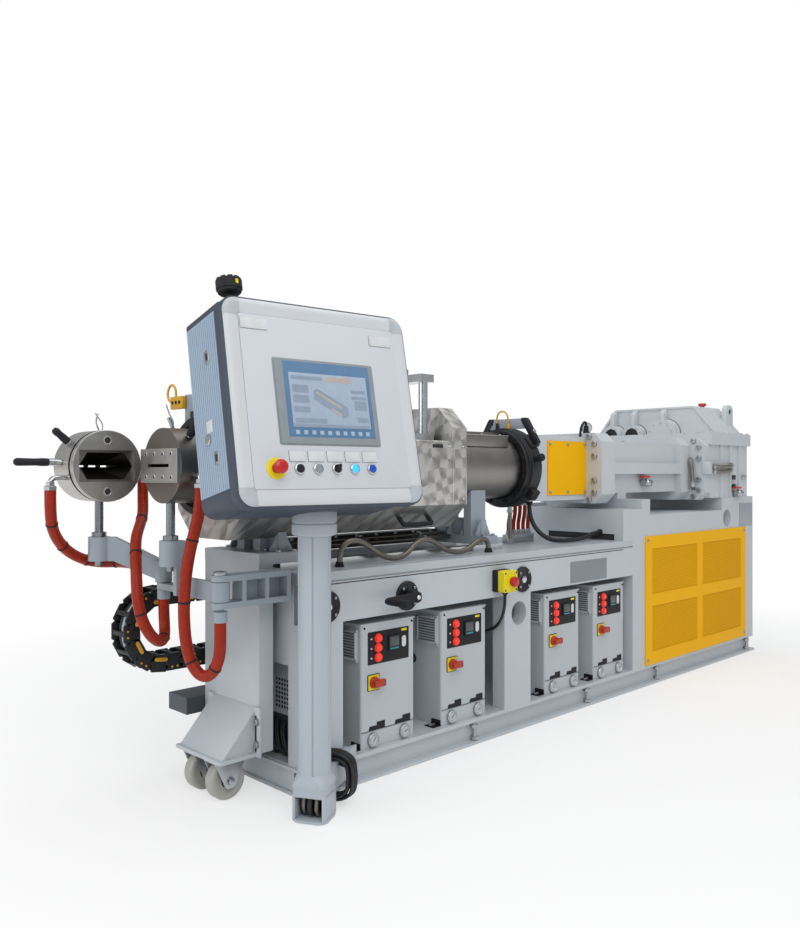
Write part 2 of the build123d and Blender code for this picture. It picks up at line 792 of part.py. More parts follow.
# Hinge clevis on the column, and the arm that carries the die head
hinge = (arm_hinge_x, arm_hinge_y)
with BuildPart() as hinge_clevis:
    y0, y1 = arm_hinge_y - hub_radius, arm_hinge_y + hub_radius
    block((arm_hinge_x, column_back), (y0, y1), (clevis_bottom, clevis_top))
    block((column_front, column_back), (y1, -column_half_width), (clevis_bottom, clevis_top))
    rod((*hinge, clevis_bottom), (*hinge, clevis_top), hub_radius)
    jaw = (clevis_bottom + clevis_ear, clevis_top - clevis_ear)
    block((arm_hinge_x - hub_radius, arm_hinge_x + clevis_jaw), (y0, y1), jaw, mode=Mode.SUBTRACT)
    pocket_start, pocket_end = arm_hinge_x + clevis_jaw + clevis_web, column_back - clevis_web
    pocket_middle = (pocket_start + pocket_end) / 2
    pockets = [(pocket_start, pocket_middle - clevis_web / 2), (pocket_middle + clevis_web / 2, pocket_end)]
    for pocket in pockets:
        block(pocket, (y0, y0 + clevis_pocket), jaw, mode=Mode.SUBTRACT)
    rod((*hinge, clevis_bottom), (*hinge, clevis_top), pin_radius + pin_clearance, mode=Mode.SUBTRACT)
keep(hinge_clevis, "hinge_clevis")

die_back = barrel_start - head_seat_gap
die_front = die_back - die_head_length
die_lip = die_front - die_plate_thickness
strip_face = die_lip - strip_closing_gap
strip_hinge = (strip_hinge_x, strip_hinge_y)
hub_low = clevis_bottom + clevis_ear + clevis_gap
hub_high = clevis_top - clevis_ear - clevis_gap
sleeve_top = sleeve_bottom + sleeve_height
bar_low = strip_hub_bottom - clevis_gap - arm_bar_height
with BuildPart() as swing_arm:
    rod((*hinge, hub_low), (*hinge, hub_high), hub_radius)
    rod((*hinge, clevis_bottom - pin_tail), (*hinge, clevis_top), pin_radius)
    rod((stem_x, 0, sleeve_bottom), (stem_x, 0, sleeve_top), sleeve_radius)
    block((arm_hinge_x - arm_thickness, arm_hinge_x), (arm_hinge_y, 0), (hub_low, hub_high))
    block((stem_x, arm_hinge_x), (-sleeve_radius, 0), (hub_low, sleeve_top))
    half, bar_high = arm_bar_width / 2, bar_low + arm_bar_height
    strip_pin = [(*strip_hinge, bar_low), (*strip_hinge, bar_high)]
    bar_sides = (strip_hinge_x - half, strip_hinge_x + half)
    block(bar_sides, (-sleeve_radius, strip_hinge[1]), (bar_low, bar_high))
    block((arm_hinge_x - arm_thickness, strip_hinge_x), (-sleeve_radius, 0), (bar_low, bar_high))
    rod(*strip_pin, half)
    rod(*strip_pin, pin_radius + pin_clearance, mode=Mode.SUBTRACT)
    rod((stem_x, 0, hub_low), (stem_x, 0, sleeve_top), stem_radius, mode=Mode.SUBTRACT)
    rod((*hinge, hose_3[-1][2]), (*hinge, clevis_bottom - clevis_gap - pin_tail / 2), union_radius)
keep(swing_arm, "swing_arm")

with BuildPart() as die_head:
    shaft(die_front, die_back, head_radius)
    rod((stem_x, 0, sleeve_bottom - pin_tail), (stem_x, 0, axis_height), stem_radius)
    rod((stem_x, 0, sleeve_top), (stem_x, 0, sleeve_top + pin_tail), stem_radius + pin_tail / 2)
    elbow(hose_3[0], (0, elbow_reach, 0))
    die_middle = Vector((die_front + die_back) / 2, 0, axis_height)
    die_lever = Vector(0, -sin(radians(lever_angle)), cos(radians(lever_angle)))
    rod(die_middle, die_middle + die_lever * (head_radius + lever_reach), handle_radius)
keep(die_head, "die_head")

with BuildPart() as die_plate:
    half_width, half_height = die_plate_width / 2, die_plate_height / 2
    plate = (die_lip, die_front)
    block(plate, (-half_width, half_width), (axis_height - half_height, axis_height + half_height))
    half_width, half_height = die_slot_width / 2, die_slot_height / 2
    slot = ((-half_width, half_width), (axis_height - half_height, axis_height + half_height))
    block(plate, *slot, mode=Mode.SUBTRACT)
keep(die_plate, "die_plate")

# Strip head, shown swung open a quarter turn, on its own arm
head_x = strip_hinge_x - strip_hinge[1]
head_face = strip_hinge[1] + strip_hinge_x - strip_face
head_back = head_face + strip_head_length
strip_stem = (head_x, head_face + strip_stem_reach)
with BuildPart() as strip_arm:
    rod((*strip_hinge, strip_hub_bottom), (*strip_hinge, strip_hub_top), hub_radius)
    rod((*strip_hinge, bar_low - pin_tail), (*strip_hinge, strip_hub_top), pin_radius)
    rod((*strip_stem, sleeve_bottom), (*strip_stem, sleeve_top), sleeve_radius)
    arm_line = Vector(*strip_stem) - Vector(*strip_hinge)
    arm_plane = Plane((*strip_hinge, 0), x_dir=arm_line, z_dir=(0, 0, 1))
    with BuildSketch(Plane(arm_plane.origin, x_dir=arm_line, z_dir=arm_plane.y_dir * -1)) as arm_side:
        with BuildLine():
            reach = arm_line.length
            knee = reach * strip_arm_knee
            low_edge = [(0, strip_hub_bottom), (knee, sleeve_bottom), (reach, sleeve_bottom)]
            Polyline(*low_edge, (reach, sleeve_top), (knee, sleeve_top), (0, strip_hub_top), close=True)
        make_face()
    extrude(arm_side.sketch, amount=strip_arm_thickness / 2, both=True)
    rod((*strip_stem, sleeve_bottom), (*strip_stem, sleeve_top), stem_radius, mode=Mode.SUBTRACT)
    rod((*strip_hinge, hose_2[-1][2]), (*strip_hinge, bar_low - clevis_gap), union_radius)
    port = Vector(hose_1[-1])
    rod(port, port - (0, port_reach, 0), union_radius)
keep(strip_arm, "strip_arm")

with BuildPart() as strip_head:
    rod((head_x, head_face, axis_height), (head_x, head_back, axis_height), head_radius)
    half_width, half_height = strip_recess_width / 2, strip_recess_height / 2
    pocket = (head_face, head_face + strip_recess_depth)
    opening = (axis_height - half_height, axis_height + half_height)
    block((head_x - half_width, head_x + half_width), pocket, opening, mode=Mode.SUBTRACT)
    rod((*strip_stem, sleeve_bottom - pin_tail), (*strip_stem, axis_height - head_radius / 2), stem_radius)
    rod((*strip_stem, sleeve_top), (*strip_stem, sleeve_top + pin_tail), stem_radius + pin_tail / 2)
    elbow(hose_1[0], (elbow_reach, 0, 0))
    elbow(hose_2[0], (-elbow_reach, 0, 0))
    head_middle = Vector(head_x, (head_face + strip_recess_depth + head_back) / 2, axis_height)
    strip_lever = Vector(-cos(radians(lever_angle)), 0, sin(radians(lever_angle)))
    rod(head_middle, head_middle + strip_lever * (head_radius + lever_reach), handle_radius)
    handle = head_middle + (0, 0, handle_height)
    rod(handle, handle - (head_radius + handle_length, 0, 0), handle_radius)
keep(strip_head, "strip_head")

# Hand controls on the apron
with BuildPart() as crank_bearings:
    for x in shaft_places:
        rod((x, front, shaft_height), (x, front - shaft_flange_depth, shaft_height), shaft_flange_radius)
keep(crank_bearings, "crank_bearings")

with BuildPart() as hand_crank:
    seat = front - shaft_flange_depth - running_gap
    tip = seat - crank_hub_length
    grip_x = crank_place - crank_arm_length
    rod((crank_place, seat, shaft_height), (crank_place, tip, shaft_height), crank_hub_radius)
    grip_base = tip + crank_grip_radius
    arm = (shaft_height - crank_grip_radius, shaft_height + crank_grip_radius)
    block((grip_x, crank_place), (tip, grip_base), arm)
    grip_tip = tip - crank_grip_length
    rod((grip_x, grip_base, shaft_height), (grip_x, grip_tip, shaft_height), crank_grip_radius)
keep(hand_crank, "hand_crank")

with BuildPart() as e_stop_box:
    x1, z1 = stop_box_left + stop_box_size, stop_box_bottom + stop_box_size
    block((stop_box_left, x1), (front - stop_box_depth, front), (stop_box_bottom, z1))
    x, z = (stop_box_left + x1) / 2, (stop_box_bottom + z1) / 2
    lid = front - stop_box_depth
    rod((x, lid, z), (x, lid - stop_button_depth, z), stop_button_radius)
keep(e_stop_box, "e_stop_box")

# Energy chain loop and its tray
chain_near = rear - chain_inset - chain_width
with BuildPart() as energy_chain:
    inner = chain_radius - chain_band
    gate = left
    for y in (chain_near, chain_near + chain_width - chain_plate):
        with BuildSketch(Plane((0, y, 0), x_dir=(1, 0, 0), z_dir=(0, -1, 0))) as side_plate:
            for radius, mode in ((chain_radius, Mode.ADD), (inner, Mode.SUBTRACT)):
                with Locations((chain_turn, chain_middle)):
                    Circle(radius, mode=mode)
                    Rectangle(gate - chain_turn, 2 * radius, align=(Align.MIN, Align.CENTER), mode=mode)
        extrude(side_plate.sketch, amount=-chain_plate)
    middle = chain_radius - chain_band / 2
    across_chain = (chain_near, chain_near + chain_width)
    for z in (chain_middle - middle, chain_middle + middle):
        for step in range(int((gate - chain_turn - chain_bar) / chain_pitch) + 1):
            x = chain_turn + step * chain_pitch
            block((x, x + chain_bar), across_chain, (z - chain_bar / 2, z + chain_bar / 2))
keep(energy_chain, "energy_chain")

with BuildPart() as chain_tray:
    tray_sides = (rear - chain_gate_width, rear)
    block((left - tray_length, left), tray_sides, (tray_bottom, tray_bottom + tray_height))
keep(chain_tray, "chain_tray")

# Clamp bridge over the ring: two slanting bars and a plate
with BuildPart() as clamp_bridge:
    ring_middle = (ring_start + feed_start) / 2
    bar = (ring_middle - bridge_width / 2, ring_middle + bridge_width / 2)
    foot_z = axis_height + ring_radius * cos(radians(bridge_angle))
    foot_y = ring_radius * sin(radians(bridge_angle))
    top_z = axis_height + ring_radius + bridge_rise
    outer = [(-foot_y, foot_z), (-bridge_half_width, top_z), (bridge_half_width, top_z), (foot_y, foot_z)]
    inner = [(foot_y - bridge_wall, foot_z), (bridge_half_width - bridge_wall, top_z - bridge_wall)]
    inner += [(-y, z) for y, z in reversed(inner)]
    along(outer + inner, *bar)
    shaft(*bar, ring_radius, mode=Mode.SUBTRACT)
keep(clamp_bridge, "clamp_bridge")

# Drain valves under the thrust housing and at the gearbox
with BuildPart() as drain_valves:
    valve_places = [(valve_1_x, -thrust_body_half_width, valve_1_height)]
    valve_places += [(valve_2_x, -gear_front, valve_2_height)]
    for x, wall, z in valve_places:
        y, lever_low = wall - valve_reach / 2, z + valve_rise
        rod((x, wall, z), (x, wall - valve_reach, z), valve_radius)
        rod((x, y, z), (x, y, lever_low), valve_radius / 2)
        lever_high = lever_low + valve_lever_thickness
        half = valve_radius / 2
        block((x - valve_lever, x + valve_radius), (y - half, y + half), (lever_low, lever_high))
keep(drain_valves, "drain_valves")

# Control stand: foot, pole and a console that leans back
pole_foot = Vector(pole_x, pole_y, 0)
beam_line = (Vector(stand_beam_end, front, 0) - pole_foot).normalized()
beam_side = Vector(beam_line.Y, -beam_line.X, 0)
beam_reach = base_width
with BuildPart() as console_foot:
    half = stand_foot_width / 2
    block((pole_x - half, pole_x + half), (pole_y - half, pole_y + half), (0, stand_foot_top))
    arch = (pole_x - stand_arch_width / 2, pole_x + stand_arch_width / 2)
    arch_front = pole_y - half
    block(arch, (arch_front, arch_front + stand_arch_depth), (0, stand_arch_height), mode=Mode.SUBTRACT)
    beam_base = pole_foot + (0, 0, stand_beam_bottom)
    with BuildSketch(Plane(beam_base, x_dir=beam_line, z_dir=(0, 0, 1))) as beam:
        Rectangle(beam_reach, stand_beam_width, align=(Align.MIN, Align.CENTER))
    extrude(beam.sketch, amount=stand_beam_height)
    block((left - base_width, right), (front, rear + base_width), (0, stand_foot_top), mode=Mode.SUBTRACT)
keep(console_foot, "console_foot")

tilt, yaw = radians(console_tilt), radians(console_yaw)
facing = Vector(sin(yaw) * cos(tilt), -cos(yaw) * cos(tilt), sin(tilt))
console_face = Plane(console_centre, x_dir=(cos(yaw), sin(yaw), 0), z_dir=facing)
with BuildPart() as console_box:
    with BuildSketch(console_face) as outline:
        RectangleRounded(console_width, console_height, console_corner)
    extrude(outline.sketch, amount=-console_frame)
    with BuildSketch(console_face.offset(-console_frame)) as case:
        case_width, case_height = console_width - 2 * console_inset, console_height - 2 * console_inset
        RectangleRounded(case_width, case_height, console_corner)
    extrude(case.sketch, amount=console_frame - console_depth)
    with BuildSketch(console_face) as door_panel:
        RectangleRounded(door_panel_width, door_panel_height, console_corner / 2)
    extrude(door_panel.sketch, amount=door_panel_step)
keep(console_box, "console_box")

with BuildPart() as console_pole:
    rod((pole_x, pole_y, stand_foot_top), (pole_x, pole_y, console_centre[2]), pole_radius)
    rod((pole_x, pole_y, collar_bottom), (pole_x, pole_y, collar_top), collar_radius)
    with BuildSketch(console_face.offset(-2 * console_depth)) as cut:
        Rectangle(2 * console_width, case_height)
    extrude(cut.sketch, amount=4 * console_depth, mode=Mode.SUBTRACT)
keep(console_pole, "console_pole")

with BuildPart() as signal_beacon:
    roof = console_face.offset(-beacon_back)
    seat = roof.from_local_coords((beacon_side, case_height / 2, 0))
    neck = seat + roof.y_dir * beacon_stem_height
    rod(seat, neck, beacon_stem_radius)
    rod(neck, neck + roof.y_dir * beacon_height, beacon_radius)
keep(signal_beacon, "signal_beacon")

# Hoses, cables and the spare cable coiled against the beam of the stand
for points, radius, name in ((hose_1, hose_radius, "red_hose_1"), (hose_2, hose_radius, "red_hose_2"),
                             (hose_3, hose_radius, "red_hose_3"),
                             (stop_cable, cable_radius, "e_stop_cable"),
                             (table_cable, thick_cable_radius, "table_cable"),
                             (ring_cable, thick_cable_radius, "ring_cable"),
                             (coil_lead, coil_cable_radius, "coil_lead")):
    tube, tightest = cord(points, radius)
    print(f"{name}: tightest radius {tightest:.0f} mm, volume {tube.part.volume:.0f} mm3")
    keep(tube, name)

coil_origin = pole_foot + beam_line * (coil_distance - coil_depth / 2)
coil_plane = Plane(coil_origin, x_dir=beam_side, z_dir=-beam_line)
beam_top = stand_beam_bottom + stand_beam_height
hole_top = beam_top + contact_gap
coil_hole = [-coil_near + coil_near_wall, coil_far - coil_far_wall]
coil_hole += [coil_bottom + coil_bottom_wall, hole_top]
coil_outside = [-coil_near, coil_far, coil_bottom, hole_top + coil_top_wall]
with BuildPart() as cable_coil:
    with BuildSketch(coil_plane) as turns:
        for (u0, u1, z0, z1), corner, mode in ((coil_outside, coil_outer_corner, Mode.ADD),
                                               (coil_hole, coil_inner_corner, Mode.SUBTRACT)):
            with Locations(((u0 + u1) / 2, (z0 + z1) / 2)):
                RectangleRounded(u1 - u0, z1 - z0, corner, mode=mode)
    extrude(turns.sketch, amount=-coil_depth)
keep(cable_coil, "cable_coil")
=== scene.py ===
"""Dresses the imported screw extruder: finishes, fittings, hoses, cables, light and camera."""

from __future__ import annotations

import json
import logging
import math
from collections.abc import Iterable, Sequence
from dataclasses import dataclass, field
from enum import Enum

import bmesh
import bpy
from mathutils import Matrix, Vector

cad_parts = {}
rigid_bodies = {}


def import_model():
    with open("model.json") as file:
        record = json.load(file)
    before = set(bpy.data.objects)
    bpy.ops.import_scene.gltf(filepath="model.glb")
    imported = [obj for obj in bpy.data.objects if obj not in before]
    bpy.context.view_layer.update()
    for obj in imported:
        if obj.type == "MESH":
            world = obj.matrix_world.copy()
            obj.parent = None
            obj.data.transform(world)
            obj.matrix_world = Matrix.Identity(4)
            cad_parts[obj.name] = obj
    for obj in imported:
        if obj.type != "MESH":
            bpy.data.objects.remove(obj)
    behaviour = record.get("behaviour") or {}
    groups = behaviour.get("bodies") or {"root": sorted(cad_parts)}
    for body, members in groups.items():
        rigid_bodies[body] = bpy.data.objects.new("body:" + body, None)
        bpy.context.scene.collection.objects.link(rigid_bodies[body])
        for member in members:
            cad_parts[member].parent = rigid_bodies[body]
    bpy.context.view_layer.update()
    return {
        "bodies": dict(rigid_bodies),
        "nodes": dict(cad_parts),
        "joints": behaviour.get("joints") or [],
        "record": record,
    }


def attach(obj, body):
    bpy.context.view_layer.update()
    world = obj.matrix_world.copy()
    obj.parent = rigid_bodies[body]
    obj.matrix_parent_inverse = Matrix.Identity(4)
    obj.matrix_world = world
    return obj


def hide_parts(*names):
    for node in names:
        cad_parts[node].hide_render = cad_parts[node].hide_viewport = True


LOG = logging.getLogger("extruder")
# One millimetre in the scene's metres.
MM = 0.001
# Height of the screw's axis, and the front face of the base.
AXIS_Z = 1058.0
FRONT_Y = -285.0
# Angle in degrees above which an edge shows sharp.
SHARP = 35.0
# Left ends of the four temperature units.
UNIT_STARTS = (-1400.0, -1001.0, -358.0, 14.0)
# Frame for an outline in XZ, with its prism along minus Y.
UPRIGHT = Matrix.Rotation(math.pi / 2, 4, "X")
# Frame for an outline in YZ, with its prism along X.
ACROSS = Matrix(((0, 0, 1, 0), (1, 0, 0, 0), (0, 1, 0, 0), (0, 0, 0, 1)))

Point = tuple[float, float, float]
Flat = tuple[float, float]
Tree = bpy.types.NodeTree
Node = bpy.types.Node
Socket = bpy.types.NodeSocket


def linear(colour: str) -> tuple[float, float, float, float]:
    """Turns an sRGB hex colour into linear RGBA.

    Args:
        colour: Six hex digits with a leading #.

    Returns:
        Linear red, green, blue and an alpha of 1.
    """
    parts = [int(colour[i:i + 2], 16) / 255 for i in (1, 3, 5)]
    shown = [c / 12.92 if c <= 0.04045 else ((c + 0.055) / 1.055) ** 2.4 for c in parts]
    return (shown[0], shown[1], shown[2], 1.0)


def add(tree: Tree, kind: str, settings: dict | None = None, links: dict | None = None) -> Node:
    """Adds a node with its settings and links.

    Args:
        tree: The tree that gets the node.
        kind: Blender's type name of the node.
        settings: Node properties by name, or input values by socket name or number.
        links: Output sockets to join to inputs, by socket name or number.

    Returns:
        The new node.
    """
    node = tree.nodes.new(kind)
    for key, value in (settings or {}).items():
        if isinstance(key, str) and hasattr(node, key):
            setattr(node, key, value)
        else:
            node.inputs[key].default_value = value
    for key, socket in (links or {}).items():
        tree.links.new(socket, node.inputs[key])
    return node


def moved(x: float, y: float, z: float) -> Matrix:
    """Frame at a point, with its axes kept."""
    return Matrix.Translation((x, y, z))


def spun(degrees: float, axis: str) -> Matrix:
    """Frame at the origin, turned about one axis by an angle in degrees."""
    return Matrix.Rotation(math.radians(degrees), 4, axis)


def axes(x: Sequence[float], y: Sequence[float], z: Sequence[float]) -> Matrix:
    """Frame at the origin with three unit axes."""
    return Matrix((x, y, z)).transposed().to_4x4()


def per_metre(size: float) -> float:
    """Texture scale whose marks are about a size in millimetres apart."""
    return 1.0 / (size * MM)


class Side(Enum):
    """Ways that a fitting faces."""

    FRONT = ((1, 0, 0), (0, 0, 1), (0, -1, 0))
    REAR = ((-1, 0, 0), (0, 0, 1), (0, 1, 0))
    LEFT = ((0, -1, 0), (0, 0, 1), (-1, 0, 0))
    TOP = ((1, 0, 0), (0, 1, 0), (0, 0, 1))

    def at(self, x: float, y: float, z: float) -> Matrix:
        """Frame in millimetres at a point: local X right, local Y up and local Z out of this side."""
        return moved(x, y, z) @ axes(*self.value)


def pointing(start: Point, way: Point) -> Matrix:
    """Frame in millimetres whose Z axis starts at a point and runs along a direction."""
    return Matrix.Translation(start) @ Vector(way).to_track_quat("Z", "Y").to_matrix().to_4x4()


@dataclass(frozen=True)
class Finish:
    """A surface: one procedural material, made when it is first used."""

    name: str
    colour: str
    roughness: float = 0.5
    metallic: float = 0.0

    def material(self) -> bpy.types.Material:
        """Returns the material of this finish, and makes it on first use."""
        found = bpy.data.materials.get(self.name)
        if found:
            return found
        made = bpy.data.materials.new(self.name)
        made.use_nodes = True
        tree = made.node_tree
        shader = tree.nodes["Principled BSDF"]
        shader.inputs["Base Color"].default_value = linear(self.colour)
        shader.inputs["Roughness"].default_value = self.roughness
        shader.inputs["Metallic"].default_value = self.metallic
        place = add(tree, "ShaderNodeTexCoord")
        self.dress(tree, shader, place.outputs["Object"])
        return made

    def dress(self, tree: Tree, shader: Node, place: Socket) -> None:
        """Adds the pattern of the surface to its shader."""

    def shades(self, tree: Tree, amount: Socket, low: float, high: float) -> Node:
        """Mixes the finish's colour between two brightnesses.

        Args:
            tree: The material's tree.
            amount: Where the colour lies between the two, from 0 to 1.
            low: Brightness at 0.
            high: Brightness at 1.

        Returns:
            A mix node whose output 2 is the colour.
        """
        base = linear(self.colour)
        ends = [tuple(min(1.0, c * k) for c in base[:3]) + (1.0,) for k in (low, high)]
        return add(tree, "ShaderNodeMix", {"data_type": "RGBA", 6: ends[0], 7: ends[1]}, {0: amount})


@dataclass(frozen=True)
class Paint(Finish):
    """Two-pack machine paint, sprayed on steel: satin, with orange peel and faint soiling."""

    peel: float = 3.0
    patch: float = 250.0
    depth: float = 0.06
    soil: float = 0.07
    shine: float = 0.45

    def dress(self, tree: Tree, shader: Node, place: Socket) -> None:
        """Adds soiling in patches of about 250 mm, and orange peel in dimples of a few millimetres."""
        patch = add(tree, "ShaderNodeTexNoise",
                    {"Scale": per_metre(self.patch), "Detail": 6.0, "Roughness": 0.62}, {"Vector": place})
        tone = self.shades(tree, patch.outputs[0], 1.0 - self.soil, 1.0 + self.soil)
        tree.links.new(tone.outputs[2], shader.inputs["Base Color"])
        gloss = add(tree, "ShaderNodeMapRange", {3: self.roughness - 0.05, 4: self.roughness + 0.1},
                    {0: patch.outputs[0]})
        tree.links.new(gloss.outputs[0], shader.inputs["Roughness"])
        peel = add(tree, "ShaderNodeTexNoise", {"Scale": per_metre(self.peel), "Detail": 1.0},
                   {"Vector": place})
        bump = add(tree, "ShaderNodeBump", {"Strength": self.depth, "Distance": 0.0006},
                   {"Height": peel.outputs[0]})
        tree.links.new(bump.outputs[0], shader.inputs["Normal"])
        shader.inputs["Specular IOR Level"].default_value = self.shine


@dataclass(frozen=True)
class Steel(Finish):
    """Bare steel, ground or turned: fine lines along one axis, and stains that dull it in patches.

    The grain is in lines per metre along each axis.
    """

    metallic: float = 1.0
    grain: Point = (40.0, 900.0, 900.0)
    patch: float = 111.1
    stain: float = 0.14
    scratch: float = 0.25

    def dress(self, tree: Tree, shader: Node, place: Socket) -> None:
        """Adds grinding lines and stains.

        The lines are about 1 mm apart, coarser than the real 0.1 mm so that they show.
        The stains are about 110 mm wide.
        """
        turned = add(tree, "ShaderNodeMapping", {"Scale": self.grain}, {"Vector": place})
        lines = add(tree, "ShaderNodeTexNoise", {"Scale": 1.0, "Detail": 3.0, "Roughness": 0.7},
                    {"Vector": turned.outputs[0]})
        patch = add(tree, "ShaderNodeTexNoise",
                    {"Scale": per_metre(self.patch), "Detail": 7.0, "Roughness": 0.66}, {"Vector": place})
        both = add(tree, "ShaderNodeMix", {0: 0.55, 2: 0.5}, {2: lines.outputs[0], 3: patch.outputs[0]})
        tone = self.shades(tree, both.outputs[0], 1.0 - 2 * self.stain, 1.0 + 2 * self.stain)
        tree.links.new(tone.outputs[2], shader.inputs["Base Color"])
        gloss = add(tree, "ShaderNodeMapRange",
                    {1: 0.3, 2: 0.7, 3: self.roughness - 0.1, 4: self.roughness + 0.14},
                    {0: both.outputs[0]})
        tree.links.new(gloss.outputs[0], shader.inputs["Roughness"])
        bump = add(tree, "ShaderNodeBump", {"Strength": self.scratch, "Distance": 0.0003},
                   {"Height": lines.outputs[0]})
        tree.links.new(bump.outputs[0], shader.inputs["Normal"])


@dataclass(frozen=True)
class Swirled(Finish):
    """Stainless sheet, polished by hand in overlapping discs about 75 mm across."""

    metallic: float = 1.0
    disc: float = 75.0
    cloud: float = 22.22

    def dress(self, tree: Tree, shader: Node, place: Socket) -> None:
        """Adds the discs, each with two bright fans across it, painted reflection of the lamps along one
        fixed direction, and cloudy wear about 22 mm wide.
        """
        along = add(tree, "ShaderNodeVectorMath", {"operation": "DOT_PRODUCT", 1: (1.0, 0.7, 0.0)},
                    {0: place})
        up = add(tree, "ShaderNodeVectorMath", {"operation": "DOT_PRODUCT", 1: (0.0, 0.5, 1.0)}, {0: place})
        flat = add(tree, "ShaderNodeCombineXYZ", {}, {0: along.outputs["Value"], 1: up.outputs["Value"]})
        cell = add(tree, "ShaderNodeTexVoronoi",
                   {"voronoi_dimensions": "2D", "Scale": per_metre(self.disc), "Randomness": 0.5},
                   {"Vector": flat.outputs[0]})
        offset = add(tree, "ShaderNodeVectorMath", {"operation": "SUBTRACT"},
                     {0: flat.outputs[0], 1: cell.outputs["Position"]})
        spoke = add(tree, "ShaderNodeVectorMath", {"operation": "NORMALIZE"}, {0: offset.outputs[0]})
        # Each disc is lighter along one fixed direction: a painted reflection.
        across = add(tree, "ShaderNodeVectorMath", {"operation": "DOT_PRODUCT", 1: (0.5, 0.866, 0.0)},
                     {0: spoke.outputs[0]})
        shade = add(tree, "ShaderNodeSeparateColor", {}, {0: cell.outputs["Color"]})
        glint_fan = add(tree, "ShaderNodeMath", {"operation": "MULTIPLY_ADD", 2: 0.35},
                  {0: across.outputs["Value"], 1: across.outputs["Value"]})
        tone_and_glint = add(tree, "ShaderNodeMath", {"operation": "MULTIPLY_ADD", 1: 0.4},
                    {0: shade.outputs[0], 2: glint_fan.outputs[0]})
        cloud = add(tree, "ShaderNodeTexNoise",
                    {"Scale": per_metre(self.cloud), "Detail": 5.0, "Roughness": 0.7}, {"Vector": place})
        mixed = add(tree, "ShaderNodeMath", {"operation": "MULTIPLY_ADD", 1: 0.9},
                    {0: cloud.outputs[0], 2: tone_and_glint.outputs[0]})
        level = add(tree, "ShaderNodeMapRange", {1: 0.55, 2: 1.85}, {0: mixed.outputs[0]})
        tone = self.shades(tree, level.outputs[0], 0.5, 1.45)
        tree.links.new(tone.outputs[2], shader.inputs["Base Color"])
        gloss = add(tree, "ShaderNodeMapRange", {3: 0.5, 4: 0.32}, {0: level.outputs[0]})
        tree.links.new(gloss.outputs[0], shader.inputs["Roughness"])
        bump = add(tree, "ShaderNodeBump", {"Strength": 0.16, "Distance": 0.004},
                   {"Height": level.outputs[0]})
        tree.links.new(bump.outputs[0], shader.inputs["Normal"])


@dataclass(frozen=True)
class Moulded(Finish):
    """Moulded plastic: an even colour with a fine spark-eroded grain."""

    grain: float = 1.2
    wear: float = 33.33
    depth: float = 0.1

    def dress(self, tree: Tree, shader: Node, place: Socket) -> None:
        """Adds grain about 1 mm wide, and gloss that handling leaves uneven in patches of about 33 mm."""
        grain = add(tree, "ShaderNodeTexNoise", {"Scale": per_metre(self.grain), "Detail": 2.0},
                    {"Vector": place})
        worn = add(tree, "ShaderNodeTexNoise", {"Scale": per_metre(self.wear), "Detail": 4.0},
                   {"Vector": place})
        tone = self.shades(tree, worn.outputs[0], 0.86, 1.14)
        tree.links.new(tone.outputs[2], shader.inputs["Base Color"])
        gloss = add(tree, "ShaderNodeMapRange", {3: self.roughness - 0.08, 4: self.roughness + 0.12},
                    {0: worn.outputs[0]})
        tree.links.new(gloss.outputs[0], shader.inputs["Roughness"])
        bump = add(tree, "ShaderNodeBump", {"Strength": self.depth, "Distance": 0.0003},
                   {"Height": grain.outputs[0]})
        tree.links.new(bump.outputs[0], shader.inputs["Normal"])


@dataclass(frozen=True)
class Sleeve(Finish):
    """Silicone-coated glass sleeve on a hose: glossy, with slack rings and scuffs."""

    ring: float = 26.0
    weave: float = 4.0
    scuff: float = 16.67

    def dress(self, tree: Tree, shader: Node, place: Socket) -> None:
        """Adds slack rings about 26 mm apart, weave about 4 mm wide under the silicone, and scuffs."""
        slack = add(tree, "ShaderNodeTexNoise",
                    {"Scale": per_metre(self.ring), "Detail": 2.0, "Distortion": 0.6}, {"Vector": place})
        weave = add(tree, "ShaderNodeTexVoronoi", {"Scale": per_metre(self.weave)}, {"Vector": place})
        scuff = add(tree, "ShaderNodeTexNoise",
                    {"Scale": per_metre(self.scuff), "Detail": 8.0, "Roughness": 0.7}, {"Vector": place})
        worn = add(tree, "ShaderNodeMapRange", {1: 0.5, 2: 0.72}, {0: scuff.outputs[0]})
        tone = self.shades(tree, worn.outputs[0], 0.85, 1.2)
        tree.links.new(tone.outputs[2], shader.inputs["Base Color"])
        shader.inputs["Specular IOR Level"].default_value = 0.3
        gloss = add(tree, "ShaderNodeMapRange", {3: self.roughness, 4: self.roughness + 0.3},
                    {0: worn.outputs[0]})
        tree.links.new(gloss.outputs[0], shader.inputs["Roughness"])
        height = add(tree, "ShaderNodeMath", {"operation": "MULTIPLY_ADD", 1: 0.1},
                     {0: weave.outputs["Distance"], 2: slack.outputs[0]})
        bump = add(tree, "ShaderNodeBump", {"Strength": 0.55, "Distance": 0.006},
                   {"Height": height.outputs[0]})
        tree.links.new(bump.outputs[0], shader.inputs["Normal"])


@dataclass(frozen=True)
class Lamp(Finish):
    """A lit lens or display: coloured plastic that glows."""

    glow: float = 1.0
    patch: float = 20.0

    def dress(self, tree: Tree, shader: Node, place: Socket) -> None:
        """Adds a glow that is a little stronger in patches of about 20 mm, as behind a diffuser."""
        patch = add(tree, "ShaderNodeTexNoise", {"Scale": per_metre(self.patch), "Detail": 1.0},
                    {"Vector": place})
        tone = self.shades(tree, patch.outputs[0], 0.9, 1.1)
        tree.links.new(tone.outputs[2], shader.inputs["Base Color"])
        tree.links.new(tone.outputs[2], shader.inputs["Emission Color"])
        shader.inputs["Emission Strength"].default_value = self.glow


